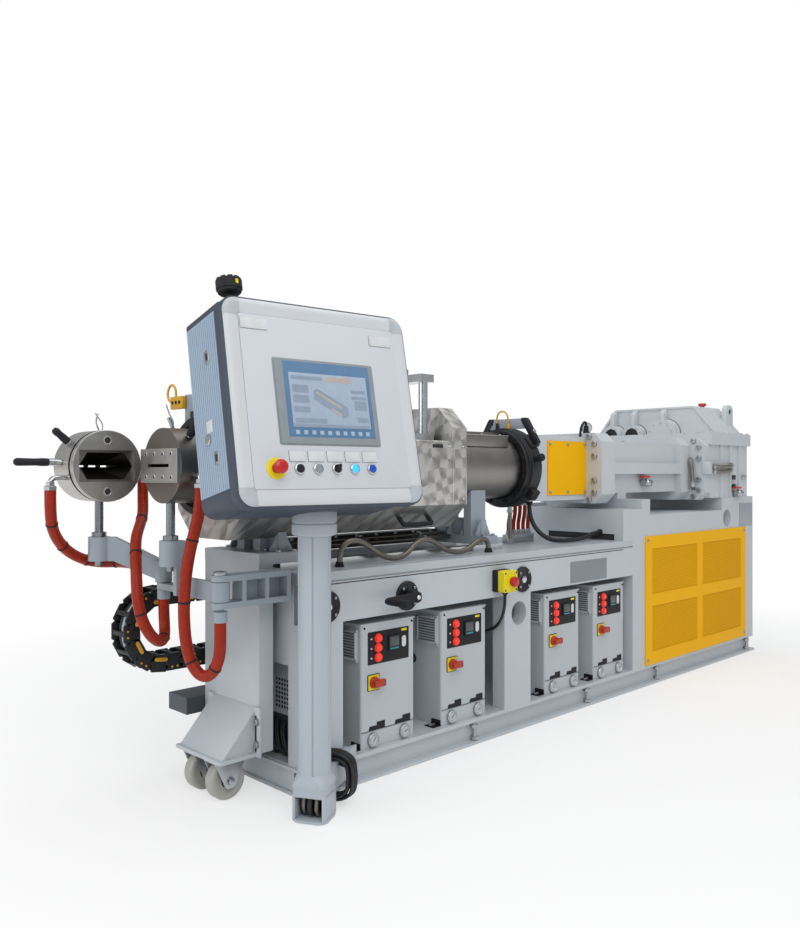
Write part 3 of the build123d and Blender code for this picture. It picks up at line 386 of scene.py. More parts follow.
# Two-pack paint on welded steel: a satin cool grey that shows the lamps as soft patches.
GREY_PAINT = Paint("paint_light_grey", "#C2C8CD", 0.34)
ARM_PAINT = Paint("paint_arm_grey", "#9AA4AD", 0.34)
TABLE_PAINT = Paint("paint_table_grey", "#B9C0C6", 0.28, soil=0.1)
DARK_PAINT = Paint("paint_dark_grey", "#4A5056", 0.45)
# Painted shade: a darker grey sheet behind the louvre slats, for the shade between them.
LOUVRE_SHADE = Paint("louvre_painted_shade_grey", "#6E757B", 0.6)
PLATE_SLATE = Paint("slate_plate", "#888F95", 0.45)
# Two-pack paint on rough castings: coarser orange peel, so that edges glint unevenly.
GEAR_PAINT = Paint("paint_pale_grey_casting", "#C8CDD1", 0.38, peel=5.0, depth=0.12)
# Powder coat on folded sheet: a fine even texture with little soiling.
UNIT_PAINT = Paint("powder_coat_grey", "#BFC4C8", 0.42, peel=1.6, depth=0.14, soil=0.04)
CONSOLE_PANEL = Paint("console_panel_grey", "#D0D4D9", 0.4, peel=1.5, depth=0.08, soil=0.03)
# Safety-yellow paint on sheet and mesh: deep in colour and almost without gloss.
YELLOW = Paint("paint_safety_yellow", "#FCBB00", 0.46, soil=0.05, shine=0.12)
MESH_YELLOW = Paint("mesh_yellow", "#F8B600", 0.5, soil=0.06, shine=0.1)
# Painted shade: a darker yellow sheet behind the mesh, for the shade seen through its holes.
MESH_SHADE = Paint("mesh_backing_painted_shade", "#D09A00", 0.7, shine=0.1)
# Anodised aluminium profiles: pale and silky, with hardly any texture.
CONSOLE_FRAME = Paint("anodised_frame", "#D3D6D9", 0.34, peel=2.0, depth=0.03, soil=0.03)
CONSOLE_SIDE = Paint("side_profile_blue_grey", "#A3B6CA", 0.4, peel=1.5, depth=0.01, soil=0.02)
# Painted shade: a darker blue grey under the side ribs, for the shade in the grooves between them.
SIDE_GROOVE_SHADE = Paint("side_profile_groove_painted_shade", "#64788D", 0.5, peel=1.5, depth=0.01, soil=0.02)
POLE_ALU = Paint("anodised_pole", "#B4BCC4", 0.4, peel=1.5, depth=0.03, soil=0.04)
# Black-oxided steel: near black, with a dull sheen on its edges.
BLACK = Paint("black_oxide", "#1C1D1F", 0.42, soil=0.2)
# Painted shade in holes, slots, seams and openings: a matt near black that stands for the shade there.
SHADOW = Paint("paint_inner_shadow", "#26292C", 0.6)
# Turned and ground tool steel: grey and clouded, with a broad soft highlight.
HEAD_STEEL = Steel("turned_head_steel", "#C2BFBB", 0.4, grain=(300.0, 300.0, 300.0), stain=0.16)
LIP_STEEL = Steel("ground_lip_steel", "#B9B6B2", 0.38, grain=(300.0, 300.0, 300.0), stain=0.12)
BARREL_STEEL = Steel("turned_barrel_steel", "#93908C", 0.4, grain=(700.0, 30.0, 30.0), stain=0.2)
SHAFT_STEEL = Steel("ground_shaft_steel", "#8F959B", 0.26, stain=0.1, scratch=0.1)
# Tool steel browned by heat: darker and warmer than the rest.
HOT_STEEL = Steel("heat_browned_steel", "#7B756F", 0.4, grain=(300.0, 300.0, 300.0), stain=0.2)
# Painted shade: dark steel for the deep walls of the heads' openings and the ribs in the slit, where shade
# falls.
BORE_SHADE_STEEL = Steel("bore_steel_painted_shade", "#3A3734", 0.5, stain=0.2)
# Ground shafts and zinc-plated fittings: small sharp highlights.
BRIGHT = Steel("bright_ground_steel", "#C9CBCD", 0.2, stain=0.06, scratch=0.08)
ZINC = Steel("zinc_plate", "#B5B8BC", 0.34, stain=0.1, scratch=0.1)
# Machined brass: a warm glint among grey fittings.
BRASS = Steel("brass_fitting", "#B99A55", 0.32, stain=0.1, scratch=0.1)
# Braided and spiral-wound steel on lines: broken, dull highlights.
BRAID = Steel("steel_braid", "#918D86", 0.58, grain=(500.0, 500.0, 500.0), stain=0.3, scratch=0.6)
CONDUIT = Steel("steel_conduit", "#7F7A72", 0.42, grain=(600.0, 600.0, 600.0), stain=0.25, scratch=0.5)
# Stainless sheet polished by hand: discs with bright and dark fans painted in as reflection.
SWIRL = Swirled("swirled_stainless", "#B5B3AF", 0.36)
# Polyamide and ABS mouldings: matt, with soft broad highlights.
BLACK_PLASTIC = Moulded("black_plastic", "#17181A", 0.42)
CHAIN_BLACK = Moulded("chain_polymer_black", "#141517", 0.48)
CHAIN_YELLOW = Moulded("chain_bar_yellow", "#D9A21B", 0.42)
WHEEL = Moulded("cast_polyamide_grey", "#B0AEA8", 0.45)
CONSOLE_CAP = Moulded("corner_cap_grey", "#B9C0C6", 0.4)
BEZEL = Moulded("display_bezel_grey", "#8F979D", 0.4)
# Rubber seals and PVC jackets: dull and dark.
CONSOLE_EDGE = Moulded("edge_seal_slate", "#3C4654", 0.5)
CABLE_BLACK = Moulded("cable_jacket_black", "#1B1C1E", 0.46)
# Polycarbonate knobs, boxes and windows: strong colour under a clear gloss.
RED_PLASTIC = Moulded("red_plastic", "#C3261C", 0.3)
ORANGE_RED = Moulded("orange_red_switch", "#B9351C", 0.36)
LEMON = Moulded("switch_box_yellow", "#EBD800", 0.36)
BLUE = Moulded("lens_blue", "#1B56C4", 0.25)
CYAN = Moulded("controller_cyan", "#3C9AB2", 0.35)
DARK_GLASS = Moulded("controller_window", "#4B5154", 0.25)
# Printed polyester film: flat, even colour.
KEY_BLUE = Moulded("display_blue", "#5B80A4", 0.4)
KEY_PALE = Moulded("display_key_pale", "#A9BCD0", 0.4)
WHITE_PLATE = Moulded("label_plate", "#D9DBDD", 0.4)
DIAL = Moulded("dial_white", "#C9CBCA", 0.4)
# Lit acrylic lenses and the display's glass: colour that doesn't darken in shade.
RED_LIT = Lamp("push_switch_red_lit", "#F0301E", 0.3, glow=0.3)
BLUE_LIT = Lamp("lens_blue_lit", "#2FA0FF", 0.25, glow=1.1)
SCREEN = Lamp("display_lit", "#9DAABC", 0.35, glow=0.16)
SCREEN_BAR = Lamp("display_grey_block", "#8795A8", 0.35, glow=0.15)
SCREEN_TAN = Lamp("display_tan_block", "#AFA69E", 0.35, glow=0.14)
# Silicone-coated glass sleeve: brick red, shiny where it is pulled tight.
HOSE_RED = Sleeve("hose_sleeve_red", "#A4280C", 0.38)


class Form:
    """Collects shapes in millimetres into one mesh, which becomes one piece."""

    def __init__(self) -> None:
        """Starts an empty form."""
        self.mesh = bmesh.new()
        self.finishes: list[Finish] = []

    def slot(self, finish: Finish) -> int:
        """Returns the material number of a finish, and adds it if it is new."""
        if finish not in self.finishes:
            self.finishes.append(finish)
        return self.finishes.index(finish)

    def take(self, part: bmesh.types.BMesh, finish: Finish | None, place: Matrix) -> None:
        """Moves a shape into the form.

        Args:
            part: The shape, which is used up.
            finish: Its finish, or None where its faces have theirs.
            place: Its frame.
        """
        bmesh.ops.recalc_face_normals(part, faces=part.faces)
        for face in part.faces:
            face.material_index = self.slot(finish) if finish else face.material_index
            face.smooth = True
        part.transform(place)
        scrap = bpy.data.meshes.new("scrap")
        part.to_mesh(scrap)
        part.free()
        self.mesh.from_mesh(scrap)
        bpy.data.meshes.remove(scrap)

    def prism(self, outline: Sequence[Flat], low: float, high: float, finish: Finish,
              place: Matrix = Matrix(), bevel: float = 0.0, steps: int = 2) -> None:
        """Adds a straight prism with softened edges.

        Args:
            outline: Corners in the local XY plane.
            low: Local height of the bottom.
            high: Local height of the top.
            finish: Its finish.
            place: Its frame.
            bevel: Width of the softened edges.
            steps: Faces across a softened edge.
        """
        part = bmesh.new()
        bottom = [part.verts.new((x, y, low)) for x, y in outline]
        face = part.faces.new(bottom)
        raised = bmesh.ops.extrude_face_region(part, geom=[face])
        top = [v for v in raised["geom"] if isinstance(v, bmesh.types.BMVert)]
        bmesh.ops.translate(part, verts=top, vec=(0, 0, high - low))
        bmesh.ops.recalc_face_normals(part, faces=part.faces)
        if bevel:
            sharp = [e for e in part.edges if e.calc_face_angle(0) > 0.6]
            bmesh.ops.bevel(part, geom=sharp, offset=bevel, segments=steps, profile=0.5, affect="EDGES",
                            clamp_overlap=True)
        self.take(part, finish, place)

    def box(self, x: Flat, y: Flat, z: Flat, finish: Finish, place: Matrix = Matrix(),
            bevel: float = 1.0) -> None:
        """Adds a block between limits along each axis, with softened edges."""
        outline = [(x[0], y[0]), (x[1], y[0]), (x[1], y[1]), (x[0], y[1])]
        self.prism(outline, z[0], z[1], finish, place, bevel)

    def lathe(self, profile: Sequence[Flat], finish: Finish, place: Matrix = Matrix(),
              steps: int = 32) -> None:
        """Adds a turned shape.

        Args:
            profile: (radius, height) pairs from one end to the other. A radius of 0 closes an end.
            finish: Its finish.
            place: Its frame, with Z along the axis.
            steps: Faces round the axis.
        """
        part = bmesh.new()
        rings: list[list[bmesh.types.BMVert]] = []
        for radius, height in profile:
            if radius <= 0:
                rings.append([part.verts.new((0, 0, height))])
                continue
            turns = [2 * math.pi * k / steps for k in range(steps)]
            rings.append([part.verts.new((radius * math.cos(a), radius * math.sin(a), height))
                          for a in turns])
        for lower, upper in zip(rings, rings[1:]):
            for k in range(steps):
                corners = [lower[k % len(lower)], lower[(k + 1) % len(lower)], upper[(k + 1) % len(upper)],
                           upper[k % len(upper)]]
                unique = list(dict.fromkeys(corners))
                if len(unique) > 2:
                    part.faces.new(unique)
        self.take(part, finish, place)

    def tube(self, points: Sequence[Point], radius: float, finish: Finish, place: Matrix = Matrix(),
             steps: int = 12, smooth: int = 6) -> None:
        """Adds a round bar along a smooth line through points.

        Args:
            points: Points on the line.
            radius: Radius of the bar.
            finish: Its finish.
            place: Its frame.
            steps: Faces round the bar.
            smooth: Lengths between two points.
        """
        line: list[Vector] = []
        knots = [Vector(p) for p in points]
        padded = [2 * knots[0] - knots[1], *knots, 2 * knots[-1] - knots[-2]]
        for a, b, c, d in zip(padded, padded[1:], padded[2:], padded[3:]):
            for k in range(smooth):
                t = k / smooth
                square = (2 * a - 5 * b + 4 * c - d) * t * t
                cube = (3 * b - a - 3 * c + d) * t ** 3
                line.append(0.5 * (2 * b + (c - a) * t + square + cube))
        line.append(knots[-1])
        part = bmesh.new()
        way = (line[1] - line[0]).normalized()
        side = way.orthogonal().normalized()
        rings = []
        for k, point in enumerate(line):
            ahead = (line[min(k + 1, len(line) - 1)] - line[max(k - 1, 0)]).normalized()
            side = (side - ahead * side.dot(ahead)).normalized()
            other = ahead.cross(side)
            turns = [2 * math.pi * j / steps for j in range(steps)]
            rings.append([part.verts.new(point + radius * (math.cos(a) * side + math.sin(a) * other))
                          for a in turns])
        for lower, upper in zip(rings, rings[1:]):
            for j in range(steps):
                part.faces.new((lower[j], lower[(j + 1) % steps], upper[(j + 1) % steps], upper[j]))
        part.faces.new(list(reversed(rings[0])))
        part.faces.new(rings[-1])
        self.take(part, finish, place)

    def loft(self, rings: Sequence[Sequence[Point]], finish: Finish, place: Matrix = Matrix(),
             wrap: bool = True, caps: bool = False, bands: Sequence[Finish] = ()) -> None:
        """Adds a skin over rings of points.

        Args:
            rings: Rings with the same number of points.
            finish: Its finish.
            place: Its frame.
            wrap: Whether each ring closes on itself.
            caps: Whether the first and last rings are filled.
            bands: A finish for each band between two rings, where they differ.
        """
        part = bmesh.new()
        rows = [[part.verts.new(p) for p in ring] for ring in rings]
        count = len(rows[0])
        for band, (lower, upper) in enumerate(zip(rows, rows[1:])):
            for k in range(count if wrap else count - 1):
                face = part.faces.new((lower[k], lower[(k + 1) % count], upper[(k + 1) % count], upper[k]))
                face.material_index = self.slot(bands[band]) if bands else 0
        if caps:
            part.faces.new(list(reversed(rows[0])))
            part.faces.new(rows[-1])
        if bands:
            bmesh.ops.remove_doubles(part, verts=part.verts, dist=1e-4)
        self.take(part, None if bands else finish, place)

    def piece(self, name: str, body: str, slot: str, replaces: Iterable[str] = (),
              sharp: float = SHARP) -> bpy.types.Object:
        """Makes the form one piece of the scene.

        Args:
            name: Name of the piece.
            body: The CAD body it rides on.
            slot: The record's material slot; not used.
            replaces: CAD nodes that it stands for.
            sharp: Angle in degrees above which an edge shows sharp.

        Returns:
            The new object.
        """
        data = bpy.data.meshes.new(name)
        self.mesh.transform(Matrix.Scale(MM, 4))
        self.mesh.to_mesh(data)
        self.mesh.free()
        for finish in self.finishes:
            data.materials.append(finish.material())
        data.set_sharp_from_angle(angle=math.radians(sharp))
        made = bpy.data.objects.new(name, data)
        bpy.context.scene.collection.objects.link(made)
        return settle(made, body, replaces)


def settle(piece: bpy.types.Object, body: str, replaces: Iterable[str] = ()) -> bpy.types.Object:
    """Ties a finished piece to its body and the nodes that it stands for."""
    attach(piece, body)
    nodes = list(replaces)
    if nodes:
        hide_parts(*nodes)
    LOG.info("%s rides on %s", piece.name, body)
    return piece


def rounded(width: float, height: float, corner: float, steps: int = 6,
            centre: Flat = (0.0, 0.0)) -> list[Flat]:
    """Outline of a rectangle with rounded corners round a centre."""
    points: list[Flat] = []
    for k, (sx, sy) in enumerate(((1, 1), (-1, 1), (-1, -1), (1, -1))):
        cx, cy = sx * (width / 2 - corner) + centre[0], sy * (height / 2 - corner) + centre[1]
        for j in range(steps + 1):
            turn = math.pi / 2 * (k + j / steps)
            points.append((cx + corner * math.cos(turn), cy + corner * math.sin(turn)))
    return points


def circle(radius: float, steps: int = 24, centre: Flat = (0.0, 0.0)) -> list[Flat]:
    """Outline of a round disc round a centre."""
    turns = [2 * math.pi * k / steps for k in range(steps)]
    return [(centre[0] + radius * math.cos(a), centre[1] + radius * math.sin(a)) for a in turns]


def arch(radius: float, steps: int, centre: Flat) -> list[Flat]:
    """Outline of a half disc that stands on its diameter."""
    turns = [math.pi * k / steps for k in range(steps + 1)]
    return [(math.cos(a) * radius + centre[0], math.sin(a) * radius + centre[1]) for a in turns]


# Turned profiles that are used more than once, as (radius, height) pairs.
STEM = [(14, 727), (14, 743), (22, 823), (24, 824), (24, 838), (14.2, 840), (14, 842), (14, 946)]
ELBOW_NUT = [(0, -2), (20.5, -2), (20.5, 10), (18, 12), (14, 13), (14, 24), (11, 25), (0, 25)]
GLAND = [(10.4, 0), (17, 0), (17, 7), (14, 9), (14, 16), (10.6, 18)]
UNION = [(0, 0), (15, 0), (15, 12), (11, 13), (11, 26), (0, 26)]


@dataclass
class Repeat:
    """A Geometry Nodes tree that sets one small part at many places and makes a plain mesh of them."""

    name: str
    finish: Finish
    size: float = 1.0

    def tree(self) -> Tree:
        """Builds the tree: points carry a turn, and the part is scaled, realised and given its finish.

        Returns:
            The new node group, with the inputs Points, Part and Size.
        """
        group = bpy.data.node_groups.new(f"repeat_{self.name}", "GeometryNodeTree")
        group.interface.new_socket("Points", in_out="INPUT", socket_type="NodeSocketGeometry")
        group.interface.new_socket("Part", in_out="INPUT", socket_type="NodeSocketObject")
        group.interface.new_socket("Size", in_out="INPUT", socket_type="NodeSocketFloat")
        group.interface.new_socket("Result", in_out="OUTPUT", socket_type="NodeSocketGeometry")
        start = add(group, "NodeGroupInput")
        part = add(group, "GeometryNodeObjectInfo", {}, {"Object": start.outputs["Part"]})
        turn = add(group, "GeometryNodeInputNamedAttribute", {"data_type": "FLOAT_VECTOR", "Name": "turn"})
        spin = add(group, "FunctionNodeEulerToRotation", {}, {0: turn.outputs[0]})
        copies = add(group, "GeometryNodeInstanceOnPoints", {},
                     {"Points": start.outputs["Points"], "Instance": part.outputs["Geometry"],
                      "Rotation": spin.outputs[0], "Scale": start.outputs["Size"]})
        real = add(group, "GeometryNodeRealizeInstances", {}, {0: copies.outputs[0]})
        dressed = add(group, "GeometryNodeSetMaterial", {"Material": self.finish.material()},
                      {"Geometry": real.outputs[0]})
        add(group, "NodeGroupOutput", {}, {0: dressed.outputs[0]})
        return group

    def build(self, part: Form, places: Sequence[Matrix], body: str, slot: str,
              replaces: Iterable[str] = ()) -> bpy.types.Object:
        """Sets the part at the places.

        Args:
            part: The part, in millimetres round its own origin.
            places: Frames in millimetres.
            body: The CAD body that the piece rides on.
            slot: The record's material slot; not used.
            replaces: CAD nodes that the piece stands for.

        Returns:
            One plain mesh object with every copy.
        """
        seed = bpy.data.meshes.new(f"{self.name}_seed")
        part.mesh.transform(Matrix.Scale(MM, 4))
        part.mesh.to_mesh(seed)
        part.mesh.free()
        seed.set_sharp_from_angle(angle=math.radians(SHARP))
        master = bpy.data.objects.new(f"{self.name}_seed", seed)
        bpy.context.scene.collection.objects.link(master)
        spots = bpy.data.meshes.new(f"{self.name}_spots")
        spots.from_pydata([Vector(p.translation) * MM for p in places], [], [])
        turns = spots.attributes.new("turn", "FLOAT_VECTOR", "POINT")
        turns.data.foreach_set("vector", [a for p in places for a in p.to_euler()])
        holder = bpy.data.objects.new(f"{self.name}_spots", spots)
        bpy.context.scene.collection.objects.link(holder)
        group = self.tree()
        modifier = holder.modifiers.new("repeat", "NODES")
        modifier.node_group = group
        inputs = {s.name: s.identifier for s in group.interface.items_tree if s.in_out == "INPUT"}
        modifier[inputs["Part"]] = master
        modifier[inputs["Size"]] = self.size
        bpy.context.view_layer.update()
        graph = bpy.context.evaluated_depsgraph_get()
        data = bpy.data.meshes.new_from_object(holder.evaluated_get(graph))
        data.name = self.name
        made = bpy.data.objects.new(self.name, data)
        bpy.context.scene.collection.objects.link(made)
        for spare in (holder, master):
            bpy.data.objects.remove(spare)
        bpy.data.node_groups.remove(group)
        return settle(made, body, replaces)


def cap_screw() -> Form:
    """Socket-head screw of 1 mm head radius: chamfered head with a sunk hexagon."""
    form = Form()
    profile = [(1.0, -0.2), (1.0, 0.85), (0.88, 1.0), (0.62, 1.0), (0.56, 0.92), (0.52, 0.45), (0.0, 0.45)]
    form.lathe(profile, ZINC, steps=18)
    return form


def hex_bolt() -> Form:
    """Hexagon bolt of 1 mm head radius on a washer."""
    form = Form()
    form.lathe([(1.25, 0.0), (1.25, 0.16), (0.98, 0.18), (0.98, 0.2)], ZINC, steps=24)
    form.prism(circle(1.0, 6), 0.16, 0.82, ZINC, bevel=0.08)
    return form


def bolts(name: str, places: Sequence[Matrix], size: float, body: str, slot: str, finish: Finish = ZINC,
          kind: Form | None = None) -> bpy.types.Object:
    """Sets screws of a head radius in millimetres at the places."""
    return Repeat(name, finish, size).build(kind or cap_screw(), places, body, slot)


@dataclass
class Studio:
    """Pale floor, soft lamps and the camera at the photograph's view, in metres."""

    eye: Point = (-3.317, -2.415, 1.035)
    way: Point = (0.6984, 0.7157, 0.0)
    lens: float = 33.0
    shift: float = 0.0097
    lamps: tuple[tuple[str, Point, Point, float, float], ...] = (
        ("key_lamp", (-3.6, -4.2, 4.6), (-0.4, 0.0, 0.7), 4.0, 128.0),
        ("top_lamp", (0.2, -0.6, 5.2), (0.0, 0.0, 0.8), 5.0, 95.0),
        ("left_lamp", (-6.0, 1.2, 2.6), (-1.2, 0.0, 0.8), 3.0, 58.0))

    def build(self) -> None:
        """Makes the camera, the floor, the lamps and the world."""
        scene = bpy.context.scene
        scene.view_settings.view_transform = "Standard"
        view = bpy.data.cameras.new("camera")
        view.lens = self.lens
        view.sensor_width = 36.0
        view.sensor_fit = "AUTO"
        view.shift_y = self.shift
        camera = bpy.data.objects.new("camera", view)
        camera.location = self.eye
        camera.rotation_euler = Vector(self.way).to_track_quat("-Z", "Y").to_euler()
        scene.collection.objects.link(camera)
        scene.camera = camera
        self.floor()
        self.world()
        for name, place, target, size, power in self.lamps:
            self.lamp(name, place, target, size, power)

    def lamp(self, name: str, place: Point, target: Point, size: float, power: float) -> None:
        """Adds a square soft lamp that faces a point."""
        light = bpy.data.lights.new(name, "AREA")
        light.size = size
        light.energy = power
        made = bpy.data.objects.new(name, light)
        made.location = place
        made.rotation_euler = (Vector(target) - Vector(place)).to_track_quat("-Z", "Y").to_euler()
        bpy.context.scene.collection.objects.link(made)

    def floor(self) -> None:
        """Adds a pale floor that fades to white away from the machine and keeps its shadow."""
        data = bpy.data.meshes.new("floor")
        data.from_pydata([(-30, -30, 0), (30, -30, 0), (30, 30, 0), (-30, 30, 0)], [], [(0, 1, 2, 3)])
        floor = bpy.data.objects.new("floor", data)
        floor.location.z = -0.0015
        made = bpy.data.materials.new("studio_floor")
        made.use_nodes = True
        tree = made.node_tree
        shader = tree.nodes["Principled BSDF"]
        shader.inputs["Base Color"].default_value = linear("#FBFBFB")
        shader.inputs["Roughness"].default_value = 0.9
        place = add(tree, "ShaderNodeTexCoord")
        reach = add(tree, "ShaderNodeVectorMath", {"operation": "LENGTH"}, {0: place.outputs["Object"]})
        fade = add(tree, "ShaderNodeMapRange", {1: 1.6, 2: 3.4, 3: 0.55, 4: 1.0},
                   {0: reach.outputs["Value"]})
        white = add(tree, "ShaderNodeEmission", {"Color": (1.0, 1.0, 1.0, 1.0), "Strength": 1.0})
        ray = add(tree, "ShaderNodeLightPath")
        seen = add(tree, "ShaderNodeMath", {"operation": "MAXIMUM"},
                   {0: ray.outputs["Is Camera Ray"], 1: ray.outputs["Is Glossy Ray"]})
        through = add(tree, "ShaderNodeMath", {"operation": "MAXIMUM"},
                      {0: seen.outputs[0], 1: ray.outputs["Is Transmission Ray"]})
        share = add(tree, "ShaderNodeMath", {"operation": "MULTIPLY"},
                    {0: fade.outputs[0], 1: through.outputs[0]})
        mix = add(tree, "ShaderNodeMixShader", {},
                  {0: share.outputs[0], 1: shader.outputs[0], 2: white.outputs[0]})
        tree.links.new(mix.outputs[0], tree.nodes["Material Output"].inputs["Surface"])
        data.materials.append(made)
        bpy.context.scene.collection.objects.link(floor)

    def world(self) -> None:
        """Sets a white backdrop that lights the object softly."""
        world = bpy.data.worlds.new("studio")
        world.use_nodes = True
        tree = world.node_tree
        soft = tree.nodes["Background"]
        soft.inputs["Color"].default_value = linear("#F2F5F8")
        soft.inputs["Strength"].default_value = 0.46
        white = add(tree, "ShaderNodeBackground", {"Color": (1.0, 1.0, 1.0, 1.0), "Strength": 1.0})
        ray = add(tree, "ShaderNodeLightPath")
        through = add(tree, "ShaderNodeMath", {"operation": "MAXIMUM"},
                      {0: ray.outputs["Is Camera Ray"], 1: ray.outputs["Is Transmission Ray"]})
        mix = add(tree, "ShaderNodeMixShader", {},
                  {0: through.outputs[0], 1: soft.outputs[0], 2: white.outputs[0]})
        tree.links.new(mix.outputs[0], tree.nodes["World Output"].inputs["Surface"])
        bpy.context.scene.world = world


@dataclass
class Hoses:
    """Red sleeved hoses at the heads and the loose cables."""

    hose_radius: float = 18.0
    stop_radius: float = 6.0
    thick_radius: float = 10.0
    coil_radius: float = 5.0
    tie_shares: tuple[float, ...] = (0.16, 0.34, 0.55, 0.8)
    routes: dict[str, list[Point]] = field(default_factory=lambda: {
        "red_hose_1": [(-2223, 300, 982), (-2223, 300, 912), (-2203, 330, 845), (-2152, 362, 784),
                       (-2086, 378, 745), (-2024, 378, 730), (-1977, 352, 730), (-1960, 306, 730),
                       (-1960, 262, 730)],
        "red_hose_2": [(-1905, 300, 1012), (-1905, 300, 950), (-1918, 273, 897), (-1950, 232, 862),
                       (-1988, 188, 824), (-2012, 142, 766), (-2032, 98, 704), (-2042, 72, 635),
                       (-2031, 60, 567), (-1999, 60, 514), (-1957, 80, 490), (-1925, 112, 500),
                       (-1912, 138, 537), (-1912, 143, 580), (-1912, 143, 620)],
        "red_hose_3": [(-1945, -140, 992), (-1945, -140, 930), (-1962, -136, 860), (-1979, -128, 780),
                       (-1987, -120, 695), (-1987, -114, 605), (-1980, -114, 520), (-1968, -124, 460),
                       (-1954, -146, 424), (-1942, -176, 420), (-1934, -206, 446), (-1930, -225, 492),
                       (-1930, -227, 542), (-1930, -227, 590)],
        "e_stop_cable": [(-692, -315, 560), (-692, -315, 524), (-690, -306, 484), (-684, -284, 448),
                         (-674, -252, 420), (-672, -214, 402), (-684, -180, 392), (-710, -160, 388),
                         (-746, -160, 388)],
        "table_cable": [(-1440, -196, 715), (-1440, -196, 760), (-1416, -197, 796), (-1364, -200, 804),
                        (-1308, -206, 776), (-1256, -212, 740), (-1194, -214, 726), (-1132, -211, 738),
                        (-1082, -204, 774), (-1024, -200, 790), (-964, -203, 770), (-914, -208, 738),
                        (-848, -210, 726), (-790, -210, 736), (-738, -208, 764), (-690, -206, 772),
                        (-660, -204, 755), (-660, -204, 715)],
        "ring_cable": [(-200, -60, 908), (-200, -60, 862), (-206, -84, 806), (-196, -124, 758),
                       (-156, -156, 732), (-84, -170, 728), (8, -172, 728), (98, -168, 734),
                       (166, -160, 750), (229, -160, 750)]})
    bodies: dict[str, str] = field(default_factory=lambda: {
        "red_hose_1": "strip_head_arm", "red_hose_2": "strip_head_arm", "red_hose_3": "head_arm"})

    def line(self, name: str, points: Sequence[Point], radius: float, finish: Finish) -> bpy.types.Object:
        """Makes a smooth curve with the route's points as its control points.

        Args:
            name: Name of the piece.
            points: The route in millimetres.
            radius: Radius of the cord in millimetres.
            finish: Its finish.

        Returns:
            The curve object.
        """
        data = bpy.data.curves.new(name, "CURVE")
        data.dimensions = "3D"
        data.bevel_depth = radius * MM
        data.bevel_resolution = 5
        data.use_fill_caps = True
        spline = data.splines.new("NURBS")
        spline.points.add(len(points) - 1)
        for knot, point in zip(spline.points, points):
            knot.co = (point[0] * MM, point[1] * MM, point[2] * MM, 1.0)
        spline.order_u = 3
        spline.use_endpoint_u = True
        spline.resolution_u = 8
        data.materials.append(finish.material())
        made = bpy.data.objects.new(name, data)
        bpy.context.scene.collection.objects.link(made)
        return made

    def build(self) -> None:
        """Makes the hoses, the stop-box cable and the coil."""
        for name, points in self.routes.items():
            hose = name.startswith("red")
            cable = self.stop_radius if name.startswith("e_stop") else self.thick_radius
            radius = self.hose_radius if hose else cable
            look = HOSE_RED if hose else CONDUIT if name.startswith("table") else CABLE_BLACK
            piece = self.line(f"{name}_line", points, radius, look)
            settle(piece, self.bodies.get(name, "base"), [name])
            worn = [self.ties(name, points, radius)] if hose else []
        self.coil()

    def ties(self, name: str, points: Sequence[Point], radius: float) -> bpy.types.Object:
        """Black ties round a hose, at points read from its own line.

        Args:
            name: Name of the hose.
            points: Its route in millimetres.
            radius: Its radius in millimetres.

        Returns:
            One piece with every tie.
        """
        bare = self.line("bare_line", points, 0.0, BLACK_PLASTIC)
        bpy.context.view_layer.update()
        data = bpy.data.meshes.new_from_object(bare.evaluated_get(bpy.context.evaluated_depsgraph_get()))
        spots = [v.co / MM for v in data.vertices]
        bpy.data.objects.remove(bare)
        bpy.data.meshes.remove(data)
        form = Form()
        for share in self.tie_shares:
            k = int(share * (len(spots) - 1))
            place = pointing(tuple(spots[k]), tuple(spots[k + 1] - spots[k]))
            low, high = radius - 1.0, radius + 1.4
            profile = [(low, -3), (high, -2.6), (high + 0.4, 0), (high, 2.6), (low, 3), (low, -3)]
            form.lathe(profile, BLACK_PLASTIC, place, 28)
        return form.piece(f"{name}_ties", self.bodies[name], "hose_red")

    def coil(self) -> None:
        """Winds the spare console cable round the beam of the stand: two layers of four loose turns."""
        pole = Vector((-1715.0, -405.0, 0.0))
        along = (Vector((-1500.0, FRONT_Y, 0.0)) - pole).normalized()
        side = Vector((along.y, -along.x, 0.0))
        points: list[Point] = [(-1651, -350, 16), (-1640, -358, 16)]
        turns, share = 8, 14
        for k in range(turns * share + 5):
            turn, row = k / share, (k / share) % 4
            layer = 0 if turn < 4 else 1
            deep = row if layer == 0 else 4 - row
            loose = 5.5 + 11.0 * layer + 1.6 * math.sin(1.7 * turn)
            u0, u1 = -38.5 - loose * 0.92, 62.0 + 1.35 * loose
            z0, z1 = 33.0 - 1.15 * loose, 137.0 + 1.5 * loose
            angle = 2 * math.pi * (turn - math.floor(turn)) - math.pi / 2
            c, s = math.cos(angle), math.sin(angle)
            bulge = max(abs(c), abs(s)) ** -0.55
            u = (u0 + u1) / 2 + (u1 - u0) / 2 * c * bulge
            z = (z0 + z1) / 2 + (z1 - z0) / 2 * s * bulge
            spot = pole + along * (97.0 + 10.4 * deep) + side * u
            points.append((spot.x, spot.y, max(z, 5.2)))
        points += [(-1640, -309, 150), (-1640, -309, 192), (-1640, -285, 192)]
        piece = self.line("cable_coil_line", points, self.coil_radius, CABLE_BLACK)
        settle(piece, "base", ["cable_coil", "coil_lead"])


